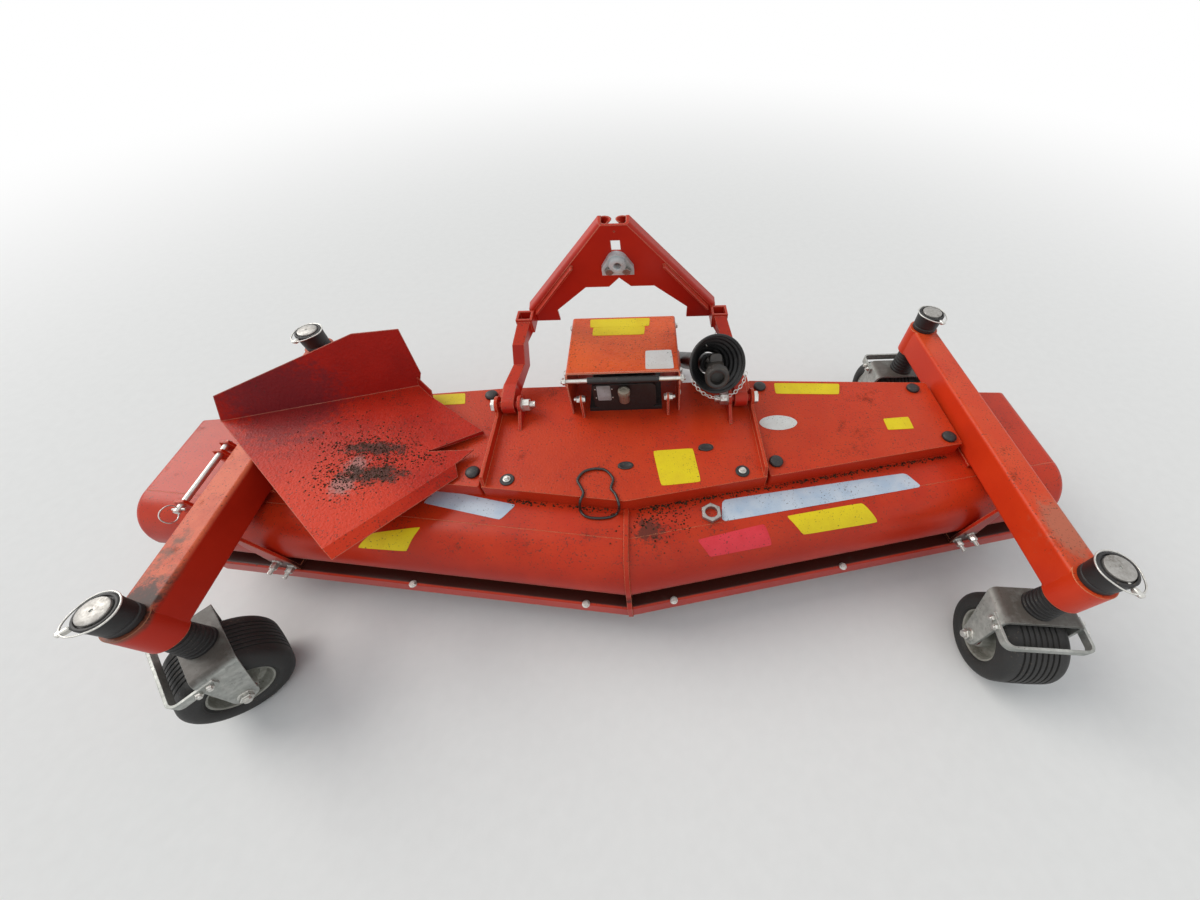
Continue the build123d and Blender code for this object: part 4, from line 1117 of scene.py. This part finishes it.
# %% [markdown]
# ## Rolled lips and the latch
# The coupling triangle leans forward, and its outer edges are curled back out of the same sheet. A curl
# is an open ring section carried up the leg, whose place across follows the slope of the edge. The
# ring and bolts of the latch sit on the same leaning face, so one function gives places on it.

# %% Rolled lips and the latch
BASE = np.array([0.0, 0.279, 0.518])
LEAN_UP, LEAN_OUT = np.array([0.0, -0.25525, 0.96686]), np.array([0.0, -0.96686, -0.25525])


def on_triangle(x, along, out=0.018):
    """Place on the leaning triangle: x across, a way up its face, and a height off the face."""
    return BASE + np.array([x, 0, 0]) + along * LEAN_UP + out * LEAN_OUT


RISE, APEX_HALF, BASE_HALF, LIP_R, LIP_SHEET = 0.25857, 0.036, 0.262, 0.0118, 0.0030


def rolled_lip(side):
    """Curl behind a leg's outer edge: an open ring section whose place across follows the edge's slope."""
    turn = np.radians(np.linspace(185, -62, 22))
    arc = np.stack([np.cos(turn), np.sin(turn)], -1)
    ring = np.concatenate([LIP_R * arc, (LIP_R - LIP_SHEET) * arc[::-1]]) + (LIP_R + 0.0004, 0.0142)
    along = np.linspace(0.012, RISE - 0.0004, 12)
    edge = BASE_HALF + (APEX_HALF - BASE_HALF) * along / RISE
    lean_in = np.hypot(1, (BASE_HALF - APEX_HALF) / RISE)
    x = side * (edge[:, None] - lean_in * ring[None, :, 0])
    points = BASE + x[..., None] * X_OUT + along[:, None, None] * LEAN_UP - ring[None, :, 1, None] * LEAN_OUT
    faces = tube_faces(len(along), len(ring), False)
    if side < 0:
        faces = [face[::-1] for face in faces]
    return points.reshape(-1, 3), faces


make_piece("rolled_lips", [rolled_lip(side) for side in (-1, 1)], "hitch", paint_hitch)
LATCH_Y = 0.1293
ring_section = [
    (0.0092, 0.0), (0.0215, 0.0), (0.0222, 0.0025), (0.0205, 0.0070), (0.0170, 0.0088), (0.0120, 0.0088),
    (0.0092, 0.0070),
]
ring = put(lathe(ring_section, 40, "loop"), on_triangle(0.0, LATCH_Y + 0.034), LEAN_OUT)
make_piece("latch_ring", [ring], "hitch", bright_steel, smooth=30)
latch_bolts = []
for x in (-0.0215, 0.0215):
    latch_bolts.append(put(hex_bolt(0.019, 0.0085, 0.022), on_triangle(x, LATCH_Y + 0.016), LEAN_OUT, x * 40))
make_piece("latch_bolts", latch_bolts, "hitch", dull_bolt, smooth=30)
print("bolts of the latch", len(latch_bolts))

# %% [markdown]
# ## Knobs and the guard
# Rubber knobs hold the belt covers down, two grommets close the drain holes, and a rod with a piece of
# hose on it holds the gearbox guard. Behind the rod stand the filler plug, whose edge is knurled by a
# cosine wave round it, and a bare rating plate on four rivets.

# %% Knobs, grommets, rod, plug and plate
COVER_TOP, GUARD_TOP = 0.342, 0.470
KNOBS = [(0.384, -0.1555), (0.860, -0.0945), (0.838, 0.0936), (0.392, 0.1215)]
dome = [
    (0.0158, 0.0), (0.0176, 0.0012), (0.0180, 0.0050), (0.0168, 0.0076), (0.0128, 0.0100), (0.0065, 0.0112),
    (0.0015, 0.0114),
]
low_pad = [(0.0170, 0.0), (0.0178, 0.0008), (0.0178, 0.0022), (0.0165, 0.0036), (0.0080, 0.0038)]
knobs = [put(lathe(dome, 32), (side * x, y, COVER_TOP)) for x, y in KNOBS for side in (-1, 1)]
knobs += [put(lathe(low_pad, 32), (side * 0.294, -0.181, COVER_TOP)) for side in (-1, 1)]
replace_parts(make_piece("knobs", knobs, "deck", rubber), "cover_knobs")

ROD = (0, 0.050, 0.451)
rod = lathe([(0.0052, -0.158), (0.0060, -0.1572), (0.0060, 0.1572), (0.0052, 0.158)], 20)
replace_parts(make_piece("guard_rod_bar", [put(rod, ROD, X_OUT)], "deck", bolt_zinc), "guard_rod")
hose_section = [
    (0.0062, -0.094), (0.0086, -0.094), (0.0088, -0.0925), (0.0088, 0.0925), (0.0086, 0.094), (0.0062, 0.094),
]
hose = put(lathe(hose_section, 24, "loop"), ROD, X_OUT)
make_piece("guard_rod_tube", [hose], "deck", rubber)

dish = [
    (0.0190, 0.0), (0.0200, 0.0010), (0.0196, 0.0026), (0.0150, 0.0034), (0.0120, 0.0016), (0.0010, 0.0012)
]
dish_points, dish_faces = lathe(dish, 36)
oval_dish = dish_points * (1.0, 0.62, 1.0)
drain_holes = ((0.0, -0.150, COVER_TOP), (0.210, -0.100, COVER_TOP))
make_piece(
    "grommets", [(oval_dish + place, dish_faces) for place in drain_holes], "deck", rubber
)

PLUG, PLUG_R, KNURL, KNURLS = (0.0, 0.029, 0.424), 0.0158, 0.0007, 18
plug_cap = lathe(
    [(1.0, 0.0), (1.0, 0.0085), (0.93, 0.0105), (0.60, 0.0108), (0.55, 0.0096), (0.10, 0.0096)], 72
)
angle = np.arctan2(plug_cap[0][:, 1], plug_cap[0][:, 0])
plug_cap[0][:, :2] *= (PLUG_R + KNURL * np.cos(KNURLS * angle))[:, None]
plug_neck = lathe([(0.0142, -0.027), (0.0148, -0.004), (0.0160, -0.003), (0.0160, 0.0), (0.0142, 0.0)], 36)
plug = make_piece("plug", [put(plug_cap, PLUG), put(plug_neck, PLUG)], "deck", plug_brass)
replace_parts(plug, "filler_plug")

FORWARD = (0, -1, 0)
PLATE_X, PLATE_Z = -0.055, 0.409
label_plate = put(pill(np.array([0.026, 0.0185, 0.0008]), 14.0, 6, 40), (PLATE_X, 0.0462, PLATE_Z), FORWARD)
make_piece("label_plate", [label_plate], "deck", label_metal)
rivet = lathe([(0.0019, 0.0), (0.0018, 0.0008), (0.0010, 0.0014), (0.0003, 0.0015)], 12)
rivets = []
for x in (-0.0225, 0.0225):
    for z in (-0.0150, 0.0150):
        rivets.append(put(rivet, (PLATE_X + x, 0.0454, PLATE_Z + z), FORWARD))
make_piece("label_rivets", rivets, "deck", bolt_zinc)
print("knobs", len(knobs))

# %% [markdown]
# ## Chain
# The chain of the guard repeats one link along a path, every second one turned a quarter. The first
# part of the path hangs round the mouth of the bell, and the second is a smooth curve through a few
# corners that goes on towards the right arm.

# %% Chain
bell_x = np.cross(shaft_run, (0, 0, 1.0))
bell_x /= np.linalg.norm(bell_x)
bell_y = np.cross(bell_x, shaft_run)


def round_bell(turns, radius, out):
    """Points round the bell's mouth, turned from its lowest point, at a radius and a way out of it."""
    turns = np.radians(turns)[:, None]
    ring = np.sin(turns) * bell_x - np.cos(turns) * bell_y
    return HEAD + np.asarray(radius)[:, None] * ring - np.asarray(out)[:, None] * shaft_run


def chain_links(path, length, width, wire):
    """Chain: stadium shaped loops set at even steps along a path, every second one turned a quarter."""
    path = np.asarray(path, float)
    step = np.linalg.norm(np.diff(path, axis=0), axis=1)
    reach = np.concatenate([[0], np.cumsum(step)])
    count = int(reach[-1] / (length - 2 * wire))
    marks = np.linspace(0, reach[-1], count + 1)
    spots = np.stack([np.interp(marks, reach, path[:, i]) for i in range(3)], -1)
    turn = np.linspace(0, 2 * np.pi, 14, endpoint=False)
    oval = np.stack([width * 0.5 * np.cos(turn), 0 * turn, length * 0.5 * np.sin(turn)], -1)
    oval[:, 0] *= 1.15
    link = tube(oval, wire, 5, closed=True)
    ends = zip(spots[:-1], spots[1:])
    return [put(link, (a + b) / 2, b - a, spin=(i % 2) * np.pi / 2 + 0.3) for i, (a, b) in enumerate(ends)]


LINK_LENGTH, LINK_WIDTH, LINK_WIRE = 0.0115, 0.0074, 0.0011
sag = np.sin(np.linspace(0, np.pi, 15))
sling = round_bell(np.linspace(-74, 66, 15), np.linspace(0.080, 0.079, 15) + 0.006 * sag, 0.004 + 0.010 * sag)
chains = chain_links(smooth_path(sling, 6), LINK_LENGTH, LINK_WIDTH, LINK_WIRE)
hang = [
    (0.262, 0.262, 0.492), (0.268, 0.240, 0.470), (0.262, 0.214, 0.455), (0.246, 0.190, 0.452),
    (0.230, 0.158, 0.470), (0.222, 0.120, 0.500),
]
chains += chain_links(smooth_path(hang, 8), LINK_LENGTH, LINK_WIDTH, LINK_WIRE)
make_piece("guard_chain", chains, "deck", bolt_zinc, smooth=60)
print("chain links", len(chains))

# %% [markdown]
# ## Wires, pins and the loose nut
# Thin steel bits are paths with a circle carried along them, so the spring clip needs only its bends
# and a smooth curve through them. The pin and bar of the discharge hinge are turned. The loose nut is
# turned as well, and then its outer points are pushed out to a hexagon.

# %% Wires, pins and the loose nut
clip_bends = np.array([
    (-0.0745, -0.1583, 0.3460), (-0.1029, -0.1661, 0.3460), (-0.1181, -0.1899, 0.3460),
    (-0.1096, -0.2109, 0.3460), (-0.1011, -0.2313, 0.3460), (-0.1077, -0.2522, 0.3430),
    (-0.1130, -0.2543, 0.3045), (-0.0992, -0.2709, 0.3037), (-0.0738, -0.2776, 0.3037),
    (-0.0403, -0.2760, 0.3037), (-0.0210, -0.2649, 0.3045), (-0.0147, -0.2658, 0.3430),
    (-0.0234, -0.2382, 0.3460), (-0.0348, -0.2195, 0.3460), (-0.0302, -0.1938, 0.3460),
    (-0.0420, -0.1725, 0.3460), (-0.0570, -0.1610, 0.3460),
])
round_again = np.concatenate([clip_bends[-2:], clip_bends, clip_bends[:3]])
clip = smooth_path(round_again, 5)[10:-15]
make_piece("spring_clip", [tube(clip, 0.0034, 12, closed=True)], "deck", wire_black)
HINGE = np.array([-1.092, -0.226, 0.318])
turn = np.linspace(0, 2 * np.pi, 28, endpoint=False)
RING_R = 0.021
ring_path = np.stack(
    [0.002 * np.sin(2 * turn), RING_R * np.cos(turn) - 0.006, RING_R * np.sin(turn) + 0.010], -1
)
pull_ring = tube(ring_path + HINGE + (0, -0.004, 0), 0.0016, 8, closed=True)
pin = lathe([(0.0026, -0.016), (0.0030, -0.015), (0.0030, 0.015), (0.0026, 0.016)], 12)
pin_bits = [pull_ring, put(pin, HINGE + (0, 0.010, 0), X_OUT)]
make_piece("hinge_ring_pin", pin_bits, "deck", bolt_zinc)
hinge_bar = lathe([(0.0062, -0.0002), (0.0074, 0.0010), (0.0074, 0.2250), (0.0062, 0.2262)], 24)
make_piece("hinge_bar", [put(hinge_bar, HINGE, (0, 1, 0))], "deck", bolt_zinc)
nut_section = [
    (0.0150, 0.0), (0.0245, 0.0), (0.0262, 0.0014), (0.0262, 0.0106), (0.0240, 0.0124), (0.0164, 0.0124),
    (0.0150, 0.0110),
]
nut_points, nut_faces = lathe(nut_section, 60, "loop")
angle = np.arctan2(nut_points[:, 1], nut_points[:, 0]) % radians(60) - radians(30)
outside = np.hypot(nut_points[:, 0], nut_points[:, 1]) > 0.02
nut_points[outside, :2] *= (cos(radians(30)) / np.cos(angle[outside]))[:, None]
nut = put((nut_points, nut_faces), (0.208, -0.276, 0.3003))
make_piece("hood_nut", [nut], "deck", cap_zinc, smooth=25)
print("points along the clip", len(clip))

# %% [markdown]
# ## Plain stickers
# The deck wears thirteen plain stickers. They are real thin pieces with rounded corners that follow the
# surface, so they catch the light as film does. Each one is a grid between four corners. On the hood a
# corner is given as a place across and a distance up the curved sheet, and the same rule that bends the
# sheet bends the sticker.

# %% Stickers
HOOD_LIP, HOOD_R, HOOD_LOW = -0.434, 0.097, 0.203
V_STRETCH = 1.0123


def on_hood(x, s, lift):
    """Point on the rolled hood: a quarter circle of distance s from its front edge, then flat."""
    into = np.clip((HOOD_R - s) / HOOD_R, 0, 1)
    rise = np.sqrt(1 - into**2)
    y = HOOD_LIP + V_SLOPE * np.abs(x) + V_STRETCH * s
    front = np.stack([V_SLOPE * np.sign(x) * into, -into, rise * V_STRETCH], -1) / V_STRETCH
    return np.stack([x, y, HOOD_LOW + HOOD_R * rise], -1) + lift * front


def on_level(height):
    """Rule for a flat sheet at a height."""
    return lambda x, y, lift: np.stack([x, y, 0 * x + height + lift], -1)


def sticker(corners, rule, square=9.0, rows=13, columns=17):
    """Closed film between four corners: a grid pressed to a rounded outline, top and underside."""
    u, v = np.meshgrid(np.linspace(-1, 1, columns), np.linspace(-1, 1, rows))
    shrink = 0.03 if square > 2 else 0.2929
    u, v = u * (1 - shrink * np.abs(v) ** square), v * (1 - shrink * np.abs(u) ** square)
    weights = np.stack([(1 - u) * (1 + v), (1 + u) * (1 + v), (1 + u) * (1 - v), (1 - u) * (1 - v)], -1) / 4
    flat = weights @ np.asarray(corners, float)
    top = rule(flat[..., 0], flat[..., 1], 0.0009).reshape(-1, 3)
    under = rule(flat[..., 0], flat[..., 1], 0.0002).reshape(-1, 3)
    count = rows * columns
    faces = grid_faces(rows, columns)
    under_faces = [tuple(i + count for i in face[::-1]) for face in faces]
    index = np.arange(count).reshape(rows, columns)
    rim = np.concatenate([index[0, :-1], index[:-1, -1], index[-1, :0:-1], index[:0:-1, 0]])
    following = np.roll(rim, -1)
    sides = [tuple(q) for q in np.stack([rim, rim + count, following + count, following], -1).tolist()]
    a, b, c = top[index[0, 0]], top[index[0, 1]], top[index[1, 0]]
    if np.cross(b - a, c - a)[2] < 0:
        faces, under_faces, sides = [[f[::-1] for f in group] for group in (faces, under_faces, sides)]
    return np.concatenate([top, under]), faces + under_faces + sides


print("hood radius", HOOD_R)

# %% [markdown]
# ### Where the stickers are
# The corners of every sticker, in order round it, are places across and up the hood, or across and
# along a level sheet. The oval one is the same grid with its outline rounded much more.

# %% Where the stickers are
hood_yellow = [
    [(0.391, 0.082), (0.589, 0.080), (0.624, 0.032), (0.428, 0.035)],
    [(-0.617, 0.050), (-0.497, 0.075), (-0.531, 0.023), (-0.657, 0.020)],
]
hood_pale = [
    [(0.240, 0.157), (0.730, 0.142), (0.757, 0.093), (0.232, 0.097)],
    [(-0.485, 0.184), (-0.276, 0.160), (-0.308, 0.114), (-0.511, 0.139)],
]
hood_pink = [[(0.168, 0.065), (0.334, 0.073), (0.350, 0.027), (0.197, 0.027)]]
level_yellow = [
    [(0.071, -0.105), (0.176, -0.101), (0.187, -0.208), (0.088, -0.216)],
    [(0.438, 0.137), (0.631, 0.125), (0.617, 0.081), (0.434, 0.092)],
    [(0.710, -0.020), (0.782, -0.016), (0.781, -0.059), (0.709, -0.061)],
    [(-0.616, 0.130), (-0.472, 0.136), (-0.462, 0.092), (-0.562, 0.090)],
]
guard_yellow = [
    [(-0.098, 0.292), (0.076, 0.292), (0.073, 0.254), (-0.096, 0.253)],
    [(-0.087, 0.2525), (0.061, 0.2535), (0.058, 0.215), (-0.088, 0.215)],
]
guard_white = [[(0.060, 0.142), (0.131, 0.143), (0.134, 0.066), (0.059, 0.066)]]
oval = [(0.366, 0.006), (0.470, 0.006), (0.470, -0.048), (0.366, -0.048)]
cover_rule, guard_rule = on_level(COVER_TOP), on_level(GUARD_TOP)
yellow = [sticker(c, on_hood) for c in hood_yellow]
yellow += [sticker(c, cover_rule) for c in level_yellow]
yellow += [sticker(c, guard_rule) for c in guard_yellow]
make_piece("stickers_yellow", yellow, "deck", film_yellow)
make_piece("stickers_pale", [sticker(c, on_hood) for c in hood_pale], "deck", film_pale)
make_piece("sticker_pink", [sticker(c, on_hood) for c in hood_pink], "deck", film_pink)
white = [sticker(c, guard_rule) for c in guard_white] + [sticker(oval, cover_rule, 2.0)]
make_piece("stickers_white", white, "deck", film_white)
print("stickers", len(yellow) + len(hood_pale) + len(hood_pink) + len(white))

# %% [markdown]
# ## Dried cuttings
# Clods and flakes of dried grass lie on the deflector and in the corner where the hood meets the covers.
# They are hundreds of tiny flat lumps, so each has only a handful of faces: a ring of six uneven points
# and a raised middle. A seeded random generator places them, thick at a few centres and thin further
# out, and gives the same lumps on every run.

# %% Dried cuttings
chance = np.random.default_rng(7)


def flakes(places, size, frame_rows):
    """Lumps at places: uneven six-sided rings with a raised middle, closed below."""
    count = len(places)
    turn = np.linspace(0, 2 * np.pi, 6, endpoint=False)[None] + chance.uniform(0, 6, (count, 1))
    reach = size[:, None] * chance.uniform(0.55, 1.25, (count, 6))
    ring = np.stack([reach * np.cos(turn), reach * np.sin(turn), np.full((count, 6), 0.0003)], -1)
    peak = np.stack([0 * size, 0 * size, size * chance.uniform(0.25, 0.6, count) + 0.0006], -1)[:, None]
    local = np.concatenate([ring, peak], 1)
    points = places[:, None] + local @ frame_rows
    sides = [(i, (i + 1) % 6, 6) for i in range(6)]
    lump = sides + [(5, 4, 3, 2, 1, 0)]
    faces = [tuple(int(v) + 7 * n for v in face) for n in range(count) for face in lump]
    return points.reshape(-1, 3), faces


rest = np.array([-0.899, 0.0, 0.3976])
TILT = 0.075
tilt_x = np.array([1.0, 0.0, -TILT]) / np.hypot(1, TILT)
tilt_z = np.array([TILT, 0.0, 1.0]) / np.hypot(1, TILT)
rest_frame = np.stack([tilt_x, (0, 1.0, 0), tilt_z])
clusters = [
    # middle across and along, spread across and along, count
    (0.236, -0.178, 0.040, 0.034, 420),
    (0.310, -0.150, 0.050, 0.030, 380),
    (0.250, -0.085, 0.060, 0.022, 420),
    (0.150, -0.140, 0.060, 0.050, 120),
    (0.230, -0.040, 0.110, 0.060, 220),
    (0.380, -0.125, 0.040, 0.012, 90),
]
spots = np.concatenate([chance.normal((a, b), (c, d), (n, 2)) for a, b, c, d, n in clusters])
from_left, back = spots.T
in_front = back > -0.34 + 0.9 * np.abs(from_left - 0.25)
spots = spots[in_front & (back < 0.33 * from_left + 0.025) & (from_left < 0.46)]
size = chance.uniform(0.0009, 0.0034, len(spots)) * chance.uniform(0.5, 1.0, len(spots))
places = rest + spots[:, :1] * tilt_x + spots[:, 1:] * (0, 1.0, 0)
make_piece("cuttings_on_deflector", [flakes(places, size, rest_frame)], "deck", cuttings, smooth=0)
print("on the deflector", len(spots))

# %% [markdown]
# ### Cuttings in the crease
# Rain leaves most of the grass in the crease behind the hood, so its lumps lie close to that line, and
# the last few hundred are loose and lie further out.

# %% Cuttings in the crease
LOOSE = 260
across = [chance.uniform(0.03, 0.86, 520), -chance.uniform(0.03, 0.30, 150), chance.normal(0.09, 0.05, LOOSE)]
across = np.concatenate(across)
behind = np.abs(chance.normal(0, 0.006, len(across)))
behind[-LOOSE:] = np.abs(chance.normal(0, 0.045, LOOSE))
crease = np.stack([across, -0.256 + V_SLOPE * np.abs(across) - 0.002 - behind], -1)
crease = crease[(np.abs(across) > 0.012) & (np.abs(across) < 0.87)]
size = chance.uniform(0.0008, 0.0030, len(crease))
HOOD_FLAT = 0.3002
places = np.concatenate([crease, np.full((len(crease), 1), HOOD_FLAT)], 1)
make_piece("cuttings_on_hood", [flakes(places, size, np.eye(3))], "deck", cuttings, smooth=0)
print("on the hood", len(crease))

# %% [markdown]
# ## Floor
# A plain pale floor runs to the horizon, so that the picture has no edge behind the mower. Near the
# mower it is a real matt surface that takes the shadows. Further out it turns into the same even white
# that the world shows to the camera and to mirrors, as a paper backdrop does in a studio.

# %% Floor
floor_material, tree, shader, place = new_material("floor")
pale = blend(tree, noise(tree, place, 30.0, 4.0), rgb(0.80, 0.80, 0.79), rgb(0.85, 0.85, 0.84))
connect(tree, shader, {"Base Color": pale, "Roughness": 0.85})
WHITE_FROM, WHITE_BY = 1.7, 6.0
away = vector_maths(tree, "LENGTH", place)
white = times(tree, in_view(tree), ramp(tree, away, WHITE_FROM, WHITE_BY))
paper = add(tree, "ShaderNodeEmission")
whitened = add(tree, "ShaderNodeMixShader", {0: white, 1: shader.outputs[0], 2: paper.outputs[0]})
floor_out = next(n for n in tree.nodes if n.type == "OUTPUT_MATERIAL")
connect(tree, floor_out, {"Surface": whitened.outputs[0]})
FLOOR_HALF = 400.0
corners = FLOOR_HALF * np.array([[-1, -1, 0], [1, -1, 0], [1, 1, 0], [-1, 1, 0]], float)
floor_mesh = bpy.data.meshes.new("floor")
floor_mesh.from_pydata(corners.tolist(), [], [(0, 1, 2, 3)])
floor_mesh.materials.append(floor_material)
floor = bpy.data.objects.new("floor", floor_mesh)
scene.collection.objects.link(floor)
print("floor", 2 * FLOOR_HALF, "m wide")

# %% [markdown]
# ## Finish
# The number of added pieces and of their faces is printed.

# %% Finish
added = sum(len(p.data.polygons) for p in all_pieces)
print("pieces", len(all_pieces), "faces added", added)
